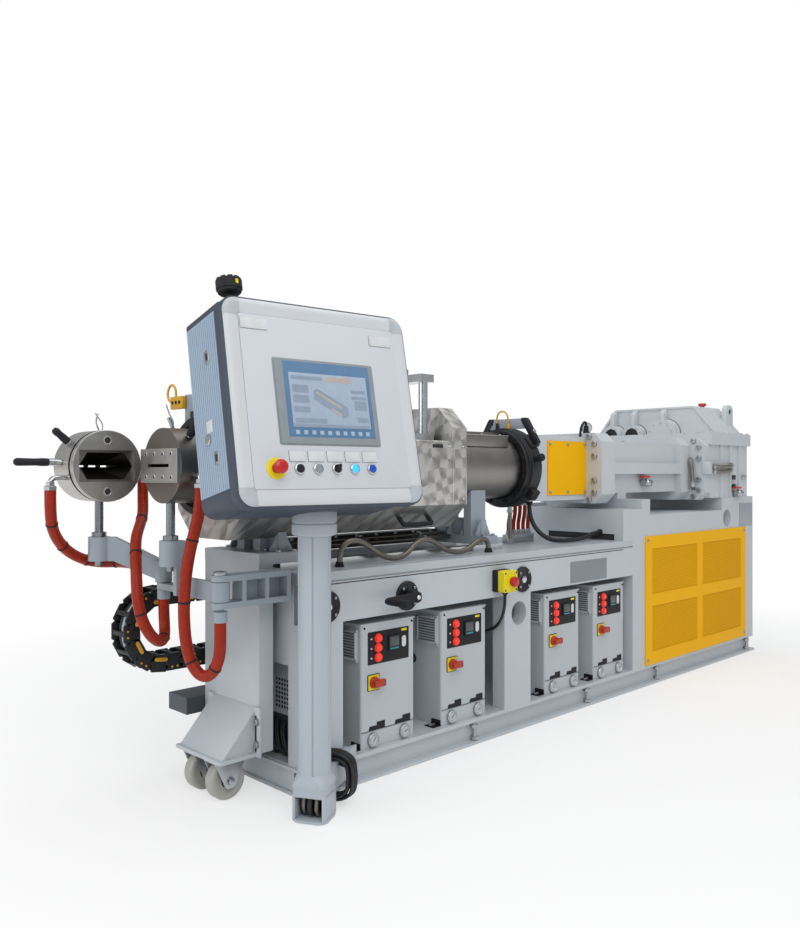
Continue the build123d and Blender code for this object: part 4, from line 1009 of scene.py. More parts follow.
@dataclass
class Solids:
    """Finishes of the CAD nodes that stay in view."""

    finishes: dict[str, Finish] = field(default_factory=lambda: {
        "table_top": TABLE_PAINT, "guide_rails": BRIGHT, "guard_door": YELLOW, "feed_guard": YELLOW,
        "e_stop_box": YELLOW, "feed_housing": GEAR_PAINT, "thrust_housing": GEAR_PAINT,
        "gearbox_housing": GEAR_PAINT, "gearbox_cover": GEAR_PAINT, "barrel_guard": SWIRL,
        "barrel": BARREL_STEEL, "screw": BRIGHT, "die_head": HOT_STEEL, "die_plate": HOT_STEEL,
        "strip_head": HEAD_STEEL, "clamp_ring": BLACK, "clamp_bridge": BLACK, "crank_bearings": BLACK,
        "hand_crank": BLACK_PLASTIC, "rear_stand": ARM_PAINT, "chain_tray": DARK_PAINT,
        "swing_arm": ARM_PAINT, "strip_arm": ARM_PAINT, "hinge_clevis": ARM_PAINT, "vent_unit": BRIGHT,
        "caster_bracket": GREY_PAINT, "drain_valves": ZINC, "caster_wheel_near": WHEEL,
        "caster_wheel_far": WHEEL, "energy_chain": CHAIN_BLACK, "console_box": CONSOLE_SIDE,
        "console_pole": POLE_ALU, "console_foot": POLE_ALU, "signal_beacon": BLACK_PLASTIC})

    def build(self, nodes: dict[str, bpy.types.Object]) -> None:
        """Gives every CAD node its finish.

        Args:
            nodes: The frame's nodes by name.
        """
        for name, node in nodes.items():
            finish = self.finishes.get(name, GREY_PAINT)
            if name.startswith("temperature_unit"):
                finish = UNIT_PAINT
            if name.startswith("isolator"):
                finish = ORANGE_RED
            node.data.materials.clear()
            node.data.materials.append(finish.material())


@dataclass
class Console:
    """Control console: slate case with ribbed sides, a pale framed front, a display and push buttons."""

    centre: Point = (-1765.0, -531.0, 1231.0)
    yaw: float = -6.65
    tilt: float = 11.6
    width: float = 620.0
    height: float = 588.0
    depth: float = 242.0
    corner: float = 46.0
    rim: float = 48.0
    buttons: tuple[float, ...] = (-120.0, -60.0, 2.0, 63.0, 123.0)
    button_row: float = -189.0

    def place(self) -> Matrix:
        """Frame of the front: X to the right, Y up the face and Z out of it."""
        yaw, tilt = math.radians(self.yaw), math.radians(self.tilt)
        right = Vector((math.cos(yaw), math.sin(yaw), 0))
        out = Vector((math.sin(yaw) * math.cos(tilt), -math.cos(yaw) * math.cos(tilt), math.sin(tilt)))
        return moved(*self.centre) @ axes(right, out.cross(right), out)

    def build(self) -> None:
        """Makes every piece of the console."""
        self.case()
        self.front()
        self.display()
        self.controls()
        self.sides()
        self.beacon()

    def case(self) -> None:
        """Case with rounded edges, and flat panels on its back."""
        form, place = Form(), self.place()
        w, h, d = self.width - 14, self.height - 14, self.depth
        form.prism(rounded(w, h, 10, 8)[:18] + rounded(w, h, 40, 8)[18:], -d, -36, CONSOLE_EDGE, place, 3.0)
        form.prism(rounded(w - 60, h - 60, 14), -d - 2.5, -d + 1, CONSOLE_SIDE, place, 1.0)
        form.prism(rounded(w - 130, h - 150, 8), -d - 4.5, -d - 2, CONSOLE_SIDE, place, 0.8)
        # Nine dark slots on the back panel: painted shade in the vent slots.
        for k in range(9):
            slot = rounded(120, 5, 2.4, 3, (-w / 4, -h / 4 + 14 * k))
            form.prism(slot, -d - 5.2, -d - 4.4, SHADOW, place)
        for x in (-w / 2 + 82, w / 2 - 82):
            for y in (-h / 2 + 92, h / 2 - 92):
                profile = [(0, 6.6), (5, 6.6), (7, 5), (7, 3.5), (0, 3.5)]
                form.lathe(profile, ZINC, place @ moved(x, y, -d) @ spun(180, "Y"), 16)
        # A darker strip under the ribs on each side: painted shade in the grooves.
        for sign in (-1, 1):
            edge = sorted((sign * (w / 2 - 1), sign * (w / 2 + 2)))
            form.box((edge[0], edge[1]), (-h / 2 + 55, h / 2 - 23), (-d + 8, -48), SIDE_GROOVE_SHADE, place, 0.8)
        wide, deep = (-w / 2 + 60, w / 2 - 60), (-d + 14, -52)
        form.box(wide, (h / 2 - 1, h / 2 + 2), deep, CONSOLE_SIDE, place, 0.8)
        form.box(wide, (-h / 2 - 2, -h / 2 + 1), deep, CONSOLE_EDGE, place, 0.8)
        form.piece("console_case", "base", "console_alu", ["console_box"])
        rib = Form()
        rib.prism([(-4.9, 0), (4.9, 0), (4.3, 2.4), (-4.3, 2.4)], -h / 2 + 56, h / 2 - 24, CONSOLE_SIDE)
        spots = []
        for sign in (-1, 1):
            turned = axes((0, 0, sign), (sign, 0, 0), (0, 1, 0))
            for k in range(15):
                spots.append(place @ moved(sign * (w / 2 + 1.6), 0, -56 - k * 12.2) @ turned)
        Repeat("console_side_ribs", CONSOLE_SIDE).build(rib, spots, "base", "console_alu")

    def ring(self, profile: Sequence[Flat], arc: int | None = None) -> list[list[Point]]:
        """Rings of points along the frame's profile.

        Args:
            profile: (inset, height) pairs across the frame.
            arc: Number of the one corner to follow, or None for all round.

        Returns:
            One ring of points for each pair.
        """
        rings = []
        for inset, height in profile:
            steps = 8
            outline = rounded(self.width - 2 * inset, self.height - 2 * inset,
                              max(self.corner - inset, 4.0), steps)
            if arc is not None:
                outline = outline[arc * (steps + 1):(arc + 1) * (steps + 1)]
                first, last = Vector(outline[0]), Vector(outline[-1])
                turn = math.pi / 2 * arc
                reach = self.rim + 6 - max(self.corner, inset)
                before = first + reach * Vector((math.sin(turn), -math.cos(turn)))
                after = last + reach * Vector((-math.cos(turn), -math.sin(turn)))
                outline = [tuple(before), *outline, tuple(after)]
            rings.append([(x, y, height) for x, y in outline])
        return rings

    def front(self) -> None:
        """Rounded frame with four corner caps, and the flat panel inside it."""
        form, place, r = Form(), self.place(), self.rim
        profile = [(5, -8), (4.5, -3), (6, 0.5), (12, 4), (20, 5.5), (r - 18, 4), (r - 6, 1.5), (r, 0.5),
                   (r, -8)]
        form.loft(self.ring(profile), CONSOLE_FRAME, place)
        seal = [(6, -42), (-1, -41), (-2, -38), (-2, -12), (-1, -6), (2, -3), (5, -2.5), (6, -8)]
        form.loft(self.ring(seal), CONSOLE_EDGE, place)
        for arc in range(4):
            raised = [(max(i - 0.6, -0.8), z + 0.9) for i, z in profile[1:-1]]
            form.loft(self.ring(raised, arc), CONSOLE_CAP, place, wrap=False)
        form.piece("console_front_frame", "base", "console_alu", sharp=50)
        panel = Form()
        wide, high = self.width - 2 * r, self.height - 2 * r
        panel.prism(rounded(wide - 1.5, high - 1.5, 4), -6, 2.0, CONSOLE_PANEL, place, 0.8)
        panel.prism(rounded(wide + 3, high + 3, 5), -7, -0.5, CONSOLE_EDGE, place)
        tags = [(-217, 219, 82, 31), (210, 207, 79, 31)]
        tags += [(x - 2, self.button_row + 36, 50, 30) for x in self.buttons]
        for x, y, w, h in tags:
            # A grey plate set down and to the left under each label: a painted shadow along its left and
            # lower edges.
            panel.prism(rounded(w + 2.4, h + 2.4, 2, 3, (x - 0.8, y - 0.8)), 1.5, 2.5, BEZEL, place)
            panel.prism(rounded(w, h, 2, 3, (x, y)), 2.3, 3.4, WHITE_PLATE, place, 0.4)
        panel.piece("console_panel", "base", "console_alu")

    def display(self) -> None:
        """Operator display: bezel, blue key field, ten keys and a lit screen with a generic picture."""
        form, place = Form(), self.place()
        bezel = [(0, 1.5), (0, 4.5), (1.5, 6), (6, 6.3)]
        rings = [[(x, y, z) for x, y in rounded(332 - 2 * i, 242 - 2 * i, max(5 - i, 1.5), 4, (-2, 2))]
                 for i, z in bezel]
        form.loft(rings, BEZEL, place, caps=True)
        form.prism(rounded(340, 250, 6, 3, (-2, 2)), 1.5, 2.6, BEZEL, place, 0.4)
        form.prism(rounded(291, 218, 2, 3, (3.5, 9.5)), 5.6, 6.6, KEY_BLUE, place, 0.3)
        form.prism(rounded(262, 156, 1.5, 3, (5, 8)), 6.2, 7.0, SCREEN, place, 0.2)
        blocks = ((34, 74, 92, 16, SCREEN_TAN), (-72, 74, 104, 12, SCREEN_BAR),
                  (-96, 40, 52, 24, SCREEN_BAR), (-96, 8, 52, 24, SCREEN_BAR),
                  (-96, -24, 52, 18, SCREEN_BAR), (100, 40, 52, 10, SCREEN_BAR),
                  (100, 20, 52, 10, SCREEN_BAR), (104, -4, 44, 30, SCREEN_BAR),
                  (-70, -58, 104, 14, SCREEN_BAR), (0, -73, 258, 10, SCREEN_BAR),
                  (108, -50, 38, 16, SCREEN_BAR))
        for x, y, w, h, look in blocks:
            form.prism(rounded(w, 0.94 * h, 1, 2, (x + 4, 0.94 * y + 2)), 6.7, 7.2, look, place)
        outline = [(-50, 36), (-36, 42), (62, -8), (62, -34), (44, -42), (-50, 10)]
        form.prism(outline, 6.7, 7.3, SCREEN_BAR, place)
        form.prism([(-44, 30), (-36, 34), (40, -8), (40, -16)], 6.9, 7.5, SCREEN_TAN, place)
        form.prism([(6, -12), (40, -30), (40, -38), (6, -20)], 6.9, 7.5, SCREEN_TAN, place)
        for k in range(10):
            form.prism(rounded(13, 12, 1.5, 3, (-114 + k * 26.2, -86)), 6.2, 7.2, KEY_PALE, place, 0.4)
        form.piece("console_display", "base", "console_alu")

    def controls(self) -> None:
        """Mushroom stop button and five 22 mm buttons with bright bezels."""
        form, place = Form(), self.place()
        stop = place @ moved(-192, self.button_row + 1, 2)
        form.lathe([(0, 0), (30, 0), (30, 1.6), (28.5, 2.4), (13, 2.6)], LEMON, stop, 40)
        profile = [(14, 2), (14, 9), (12, 11), (12, 22), (19.5, 25), (20, 29), (18.5, 35), (12, 38.5),
                   (0, 39.5)]
        form.lathe(profile, RED_PLASTIC, stop, 36)
        looks = (BLACK_PLASTIC, BEZEL, BLACK_PLASTIC, BLUE_LIT, BLUE)
        for k, (x, look) in enumerate(zip(self.buttons, looks)):
            spot = place @ moved(x, self.button_row, 2)
            profile = [(16, 0), (16, 4.5), (15, 6.5), (12.5, 7.4), (11.6, 6.2), (11.6, 4)]
            form.lathe(profile, BRIGHT, spot, 32)
            form.lathe([(11.4, 3.5), (11.4, 7.6), (10, 8.8), (0, 9.2)], look, spot, 28)
            if k == 2:
                lever = [(-4, -13), (4, -13), (5, 10), (0, 14), (-5, 10)]
                form.prism(lever, 8, 19, BLACK_PLASTIC, spot @ spun(-28, "Z"), 1.6)
        form.piece("console_controls", "base", "console_alu")

    def sides(self) -> None:
        """Two locks, a bare plate and a sealed button on the left side."""
        form = Form()
        side = self.place() @ moved(-(self.width - 14) / 2 - 2, 0, 0) @ spun(-90, "Y")
        for z, y in ((-114, 151), (-107, -136)):
            form.prism(rounded(26, 38, 3, 4, (z, y)), 0, 4, ZINC, side, 1.0)
            # Near-black keyhole: painted shade in the lock.
            form.prism(rounded(11, 20, 2, 4, (z, y)), 3.5, 4.8, SHADOW, side)
        form.prism(rounded(36, 34, 2, 3, (-138, -42)), 0, 2.6, WHITE_PLATE, side, 0.4)
        button = side @ moved(-149, -76, 0)
        profile = [(15, 0), (15, 5), (13.5, 7), (12, 7.4), (11, 5.5), (10.8, 9), (0, 9.6)]
        form.lathe(profile, BRIGHT, button, 28)
        form.piece("console_side_fittings", "base", "console_alu")

    def beacon(self) -> None:
        """Black sounder on the roof, with a waist, a notched crown and a yellow lens."""
        form = Form()
        seat = self.place() @ moved(-247, self.height / 2 - 7, -60) @ spun(-90, "X")
        profile = [(0, 0), (22, 0), (22, 5), (15, 8), (13, 14), (13, 34), (0, 34)]
        form.lathe(profile, BLACK_PLASTIC, seat, 28)
        roof = seat @ moved(0, 0, 34)
        profile = [(0, 0), (20, 0), (29, 2), (33, 6), (34, 12), (37, 14), (37, 40), (34.5, 43), (33, 43),
                   (32, 40), (0, 40)]
        form.lathe(profile, BLACK_PLASTIC, roof, 40)
        for k in range(10):
            turn = roof @ Matrix.Rotation(2 * math.pi * k / 10, 4, "Z")
            form.box((26, 34.5), (-7, 7), (39, 47), BLACK_PLASTIC, turn, 1.2)
        lens = roof @ spun(10, "Z") @ moved(0, 0, 28) @ spun(90, "X")
        form.prism(rounded(9, 13, 2, 3), 34, 38.2, LEMON, lens, 0.6)
        form.piece("signal_sounder", "base", "black_plastic", ["signal_beacon"])


@dataclass
class ConsoleStand:
    """Fluted round pole on a cast foot, with a collar under the console."""

    x: float = -1715.0
    y: float = -405.0
    radius: float = 50.0
    foot_top: float = 138.0

    def build(self) -> None:
        """Makes the pole, its collar and the foot."""
        form = Form()
        here = moved(self.x, self.y, 0)
        outline = []
        for k in range(96):
            turn = 2 * math.pi * k / 96
            near = min(abs((math.degrees(turn) - a + 180) % 360 - 180) for a in (-70, -20, 110, 160, 225))
            reach = self.radius - (4.0 if near < 3.5 else 0.0)
            outline.append((reach * math.cos(turn), reach * math.sin(turn)))
        form.prism(outline, self.foot_top - 6, 972, POLE_ALU, here)
        collar = [(51, 845), (66, 851), (68, 856), (68, 882), (65, 884), (65, 888), (68, 890), (68, 918),
                  (64, 924), (51, 926)]
        form.lathe(collar, POLE_ALU, here, 48)
        form.piece("console_pole_profile", "base", "pole_alu", ["console_pole"])
        self.foot()

    def foot(self) -> None:
        """Cast foot in line with its beam: flared neck, open front and cables inside."""
        form = Form()
        pole = Vector((self.x, self.y, 0))
        along = (Vector((-1500.0, FRONT_Y, 0)) - pole).normalized()
        up = Vector((0, 0, 1))
        turn = Matrix.Translation(pole) @ axes(along, up.cross(along), up)
        neck = ((104, 16, 76), (104, 16, 98), (110, 18, 103), (110, 20, 112), (106, 30, 122),
                (102, 44, 132), (101, 50, 140))
        rings = [[(x, y, z) for x, y in rounded(size, size, corner, 8)] for size, corner, z in neck]
        form.loft(rings, POLE_ALU, turn, caps=True)
        form.prism(rounded(112, 112, 30, 8), 0, 8, POLE_ALU, turn, 2.5)
        for sign in (-1, 1):
            wall = sorted((sign * 42, sign * 52))
            form.box((-50, 50), (wall[0], wall[1]), (4, 84), POLE_ALU, turn, 4.0)
        form.box((40, 51), (-50, 50), (4, 84), POLE_ALU, turn, 2.0)
        # A dark panel inside the open front: painted shade in the foot.
        form.box((33, 41), (-43, 43), (7, 84), SHADOW, turn, 0.5)
        form.box((-46, -40), (-43, 43), (72, 84), POLE_ALU, turn, 1.0)
        for k, (u, v) in enumerate(((-26, -24), (-30, -4), (-22, 18), (-8, 30))):
            route = [(u, v, 86), (u - 10, v + 2, 56), (u - 4, v + 4, 30), (u + 16, v + 2, 17),
                     (u + 44, v, 15)]
            form.tube(route, 7.0 + k % 2, CABLE_BLACK if k % 2 else CONDUIT, turn)
        section = [(-32.5, 54), (32.5, 54), (32.5, 66), (29, 69), (29, 73), (32.5, 76), (32.5, 114),
                   (29, 117), (29, 121), (32.5, 124), (32.5, 136), (6, 136), (4, 132.5), (-4, 132.5),
                   (-6, 136), (-32.5, 136)]
        slant = along.x / along.y
        ends = [[(48, y, z) for y, z in section], [(228 - y * slant, y, z) for y, z in section]]
        form.loft(ends, POLE_ALU, turn, caps=True)
        form.piece("console_foot_casting", "base", "pole_alu", ["console_foot"])


@dataclass
class TemperatureUnit:
    """One temperature control unit: control panel, isolator, gauges, louvre and lid."""

    number: int
    start: float
    width: float = 255.0
    front: float = -262.0
    bottom: float = 94.0
    top: float = 519.0

    def build(self) -> None:
        """Makes the unit's fittings."""
        self.panel()
        self.isolator()
        self.gauges()
        self.louvre()

    def panel(self) -> None:
        """Black front plate with three red switches, a 48 mm controller and a bare oval plate."""
        form = Form()
        place = Side.FRONT.at(self.start, self.front, self.bottom)
        form.prism(rounded(196, 112, 3, 3, (128, 340)), 0, 1.6, BLACK_PLASTIC, place, 0.5)
        for k in range(3):
            spot = place @ moved(77, 372 - 33 * k, 1)
            profile = [(16, 0), (16, 3), (14.5, 5), (13, 5.2), (13, 9), (11, 11), (0, 11.6)]
            form.lathe(profile, RED_LIT, spot, 26)
            form.prism(rounded(7, 5, 1, 2, (46, 372 - 33 * k)), 1.2, 2.2, WHITE_PLATE, place)
        form.prism(rounded(54, 54, 3, 3, (150, 348)), 1, 8, BLACK_PLASTIC, place, 1.2)
        form.prism(rounded(42, 34, 1.5, 3, (150, 353)), 7.5, 8.8, DARK_GLASS, place, 0.4)
        for k in range(4):
            form.prism(rounded(8, 6, 1.5, 3, (135 + k * 10, 329)), 7.5, 9, CYAN, place, 0.3)
        form.prism(rounded(20, 40, 9.5, 6, (201, 346)), 1, 3, WHITE_PLATE, place, 0.5)
        form.prism(rounded(26, 8, 1, 2, (202, 387)), 1.2, 2.2, LEMON, place)
        for x in (34, 158):
            outline = [(x, 60), (x + 76, 60), (x + 76, 84), (x + 38, 84), (x + 38, 73), (x + 4, 73)]
            form.prism(outline, 0, 1.2, BLACK_PLASTIC, place)
        # A thin dark line along the seam between door and skirt: painted shade in the seam.
        form.box((2, self.width - 2), (57.5, 59.5), (-0.5, 0.5), SHADOW, place, 0.2)
        lid = [(self.start - 1, self.front - 1.5), (self.start + self.width + 1, self.front - 1.5)]
        lid += [(self.start + self.width + 1, self.front + 471), (self.start - 1, self.front + 471)]
        form.prism(lid, self.top - 3, self.top + 1.5, UNIT_PAINT, bevel=1.0)
        form.box((-40, 8), (0, 3.5), (-50, -4), BLACK, place, 0.8)
        form.box((-3, 0), (0, 22), (-50, -4), BLACK, place, 0.8)
        for x in (-30, -14):
            profile = [(7, 3), (7, 8), (5.5, 9.5), (0, 9.5)]
            form.lathe(profile, ZINC, Side.TOP.at(self.start + x, self.front + 27, self.bottom), 6)
        elbow = pointing((self.start + 1, self.front + 150, self.bottom + 232), (-1, 0, 0))
        profile = [(0, 0), (19, 0), (19, 7), (14, 9), (14, 24), (17, 26), (17, 40), (0, 41)]
        form.lathe(profile, BLACK_PLASTIC, elbow, 20)
        form.piece(f"unit_{self.number}_panel", "base", "unit_paint")
        screws = [place @ moved(x, 412, 0) for x in (14, 241)]
        bolts(f"unit_{self.number}_screws", screws, 3.6, "base", "unit_paint", BLACK)

    def isolator(self) -> None:
        """Yellow plate with a dark border on the unit, and the red lever that turns on it."""
        place = Side.FRONT.at(self.start + 56, self.front - 3, 317)
        plate = Form()
        plate.prism(rounded(56, 56, 4, 3), -3, -0.6, BLACK_PLASTIC, place, 0.5)
        plate.prism(rounded(51, 51, 3, 3), -0.8, 0.1, LEMON, place)
        plate.piece(f"unit_{self.number}_isolator_plate", "base", "yellow_paint")
        lever = Form()
        profile = [(20, 0.5), (20, 6), (18.5, 9), (17, 10), (17, 17), (15, 18.5), (0, 18.8)]
        lever.lathe(profile, ORANGE_RED, place, 32)
        grip = [(-17, -10), (20, -13), (34, -12), (34, 12), (20, 13), (-17, 10)]
        lever.prism(grip, 16, 28, ORANGE_RED, place, 3.0, 3)
        lever.prism(rounded(7, 14, 1.5, 3, (27, 0)), 27.5, 28.4, DARK_GLASS, place)
        lever.piece(f"unit_{self.number}_isolator_lever", f"switch_{self.number}", "red_plastic",
                    [f"isolator_handle_{self.number}"])

    def gauges(self) -> None:
        """Two dial gauges on the skirt: bright rims, white dials and needles."""
        form = Form()
        for k, x in enumerate((52, self.width - 52)):
            place = Side.FRONT.at(self.start + x, self.front, self.bottom + 27)
            form.lathe([(25, 0), (25, 9), (23.5, 11), (20, 11.2), (18.5, 8.6)], ZINC, place, 36)
            form.lathe([(18.8, 8.7), (0, 8.8)], DIAL, place, 32)
            form.prism([(-1.2, -5), (1.2, -5), (0.7, 13), (-0.7, 13)], 9.0, 9.6, BLACK_PLASTIC,
                       place @ spun(-40 - 30 * k, "Z"))
            for j in range(9):
                tick = place @ spun(-135 + 33.75 * j, "Z")
                outline = [(-0.6, 14.5), (0.6, 14.5), (0.6, 17.5), (-0.6, 17.5)]
                form.prism(outline, 8.9, 9.3, BLACK_PLASTIC, tick)
        form.piece(f"unit_{self.number}_gauges", "base", "unit_paint")

    def louvre(self) -> None:
        """Slatted louvre on the left side, over a darker grey sheet that is painted shade between the
        slats.
        """
        slat = Form()
        slat.prism([(-2.6, -0.5), (2.4, 3.2), (3.2, 2.6), (-1.8, -1.2)], -46, 46, UNIT_PAINT)
        place = Side.LEFT.at(self.start - 6, self.front + 70, self.top - 73)
        turn = spun(90, "Y") @ spun(90, "Z")
        spots = [place @ moved(0, -44 + 9.8 * k, 0) @ turn for k in range(10)]
        back = Form()
        back.prism(rounded(90, 94, 2, 3), -0.5, 0.4, LOUVRE_SHADE, place)
        for sign in (-1, 1):
            rail = sorted((sign * 44, sign * 50))
            back.box((rail[0], rail[1]), (-50, 50), (-1, 5), UNIT_PAINT, place, 1.0)
            back.box((-50, 50), (rail[0], rail[1]), (-1, 5), UNIT_PAINT, place, 1.0)
        back.piece(f"unit_{self.number}_louvre", "base", "unit_paint")
        Repeat(f"unit_{self.number}_slats", UNIT_PAINT).build(slat, spots, "base", "unit_paint")


@dataclass
class GuardDoor:
    """Yellow guard door with four perforated panes."""

    start: float = 426.0
    bottom: float = 96.0
    face: float = -291.0
    border: float = 62.0
    bar: float = 60.0
    pane: Flat = (469.5, 222.5)
    pitch: float = 9.0

    def build(self) -> None:
        """Makes the panes and the door's screws and latches."""
        cell = Form()
        part, half, hole = bmesh.new(), self.pitch / 2, self.pitch * 0.4
        corners = ((-1, -1), (1, -1), (1, 1), (-1, 1))
        outer = [part.verts.new((sx * half, sy * half, 0)) for sx, sy in corners]
        inner = [part.verts.new((x, y, 0)) for x, y in ((0, -hole), (hole, 0), (0, hole), (-hole, 0))]
        for k in range(4):
            part.faces.new((outer[k], outer[(k + 1) % 4], inner[(k + 1) % 4], inner[k]))
        cell.take(part, MESH_YELLOW, Matrix())
        spots, back = [], Form()
        for column in range(2):
            for row in range(2):
                x = self.start + self.border + column * (self.pane[0] + self.bar)
                z = self.bottom + self.border + row * (self.pane[1] + self.bar)
                across, up = int(self.pane[0] / self.pitch), int(self.pane[1] / self.pitch)
                left = x + (self.pane[0] - across * self.pitch) / 2
                low = z + (self.pane[1] - up * self.pitch) / 2
                for i in range(across):
                    for j in range(up):
                        right, level = left + (i + 0.5) * self.pitch, low + (j + 0.5) * self.pitch
                        spots.append(Side.FRONT.at(right, self.face + 1.6, level))
                frame = [(0, -0.2), (0, 0.8), (4, 0.8), (6, -1.4)]
                place = Side.FRONT.at(x + self.pane[0] / 2, self.face, z + self.pane[1] / 2)
                wide, tall = self.pane[0] + 10, self.pane[1] + 10
                rings = [[(a, b, h) for a, b in rounded(wide - 2 * i, tall - 2 * i, 5, 3)]
                         for i, h in frame]
                back.loft(rings, YELLOW, place)
                # A darker sheet behind each pane: painted shade seen through the holes.
                back.prism(rounded(self.pane[0], self.pane[1], 3, 3), -2.9, -2.5, MESH_SHADE, place)
        Repeat("door_mesh", MESH_YELLOW).build(cell, spots, "base", "yellow_paint")
        for x in (self.start + 22, self.start + 1101):
            for z in (self.bottom + 22, self.bottom + 607):
                place = Side.FRONT.at(x, self.face, z)
                back.lathe([(9, -0.5), (9, 2), (7, 3.4), (0, 3.8)], ZINC, place, 24)
                # Dark slot in each head: painted shade.
                back.box((-5, 5), (-1, 1), (3.2, 4.2), SHADOW, place, 0.2)
        back.piece("door_pane_frames", "base", "yellow_paint")


def rays(outline: Sequence[Flat], turns: Sequence[float]) -> list[Flat]:
    """Points where rays from the origin cross a star-shaped outline.

    Args:
        outline: Corners in order.
        turns: Angles of the rays in radians.

    Returns:
        One point for each angle.
    """
    found = []
    for turn in turns:
        ray, best = Vector((math.cos(turn), math.sin(turn))), 0.0
        for a, b in zip(outline, [*outline[1:], outline[0]]):
            start, edge = Vector(a), Vector(b) - Vector(a)
            cross = ray.x * edge.y - ray.y * edge.x
            if abs(cross) < 1e-9:
                continue
            reach = (start.x * edge.y - start.y * edge.x) / cross
            share = (start.x * ray.y - start.y * ray.x) / cross
            if reach > best and -1e-6 <= share <= 1 + 1e-6:
                best = reach
        found.append((ray.x * best, ray.y * best))
    return found


def spread(outlines: Iterable[Sequence[Flat]], steps: int) -> list[float]:
    """Angles of evenly spaced rays and of every corner, so that no corner is cut off.

    Args:
        outlines: Outlines round the origin.
        steps: Number of even rays.

    Returns:
        The angles in radians, in order.
    """
    corners = [math.atan2(y, x) % (2 * math.pi) for outline in outlines for x, y in outline]
    even = [2 * math.pi * k / steps for k in range(steps)]
    return sorted({round(turn, 5) for turn in (*corners, *even)})


@dataclass
class EnergyChain:
    """Cable-carrying chain that loops out of the end of the base."""

    gate: float = -1655.0
    turn: float = -1887.0
    middle: float = 507.0
    radius: float = 112.0
    near: float = 190.0
    width: float = 93.0
    links: int = 15

    def at(self, distance: float, lift: float = 0.0) -> tuple[Vector, Vector, Vector]:
        """Point, direction and outward normal at a distance along the chain.

        Args:
            distance: Distance from the upper end.
            lift: Offset along the normal.

        Returns:
            The point, the direction and the normal.
        """
        straight, arc = self.gate - self.turn, math.pi * self.radius
        y = self.near + self.width / 2
        if distance < straight:
            spot = Vector((self.gate - distance, y, self.middle + self.radius))
            way, out = Vector((-1, 0, 0)), Vector((0, 0, 1))
        elif distance < straight + arc:
            angle = math.pi / 2 + (distance - straight) / self.radius
            out = Vector((math.cos(angle), 0, math.sin(angle)))
            spot, way = Vector((self.turn, y, self.middle)) + self.radius * out, Vector((-out.z, 0, out.x))
        else:
            x = self.turn + distance - straight - arc
            spot = Vector((x, y, self.middle - self.radius))
            way, out = Vector((1, 0, 0)), Vector((0, 0, -1))
        return spot + lift * out, way, out

    def build(self) -> None:
        """Makes the links, their yellow bars and pins, and the cables inside."""
        length = 2 * (self.gate - self.turn) + math.pi * self.radius
        pitch = length / self.links
        places = []
        for k in range(self.links):
            spot, way, out = self.at((k + 0.5) * pitch)
            places.append(Matrix.Translation(spot) @ axes(way, out, way.cross(out)))
        link, bar, pin = Form(), Form(), Form()
        side = self.width / 2
        reach = pitch / 2
        shape = [(-reach - 7, -14), (-reach + 6, -28), (reach - 6, -29), (reach + 3, -16), (reach + 6, 14),
                 (reach - 2, 29), (-reach, 29), (-reach - 9, 15)]
        for low, high in ((-side, -side + 7), (side - 7, side)):
            link.prism(shape, low, high, CHAIN_BLACK, bevel=1.2)
        for height in (-24, 24):
            link.box((-8, 8), (height - 4, height + 4), (-side + 4, side - 4), CHAIN_BLACK, bevel=1.5)
        for low, high in ((-side - 2.5, -side + 1), (side - 1, side + 2.5)):
            link.prism(circle(11, 18, (-reach + 2, 0)), low, high, CHAIN_BLACK, bevel=0.8)
        for low in (-side - 2.8, side - 0.2):
            bar.prism(rounded(48, 13, 6.4, 5, (2, -13)), low, low + 3, CHAIN_YELLOW, bevel=0.8)
            for x in (-10, 10):
                pin.prism(circle(3.6, 12, (x, 16)), low + 0.6, low + 2.4, CHAIN_YELLOW)
        chain = Repeat("energy_chain_links", CHAIN_BLACK)
        chain.build(link, places, "base", "chain_polymer", ["energy_chain"])
        Repeat("energy_chain_bars", CHAIN_YELLOW).build(bar, places[::2], "base", "chain_polymer")
        Repeat("energy_chain_pins", CHAIN_YELLOW).build(pin, places[1::2], "base", "chain_polymer")
        fill = Form()
        lines = ((-26, 8, 8, BRAID), (-4, 10, 7, POLE_ALU), (18, 6, 9, CABLE_BLACK), (-12, -9, 7, BRAID),
                 (10, -11, 8, POLE_ALU))
        for shift, lift, radius, look in lines:
            route = []
            for k in range(41):
                spot = self.at(2 + (length - 4) * k / 40, lift)[0]
                route.append((spot.x, spot.y + shift, spot.z))
            fill.tube(route, radius, look, Matrix(), 10, 1)
        fill.piece("energy_chain_filling", "base", "cable_black")


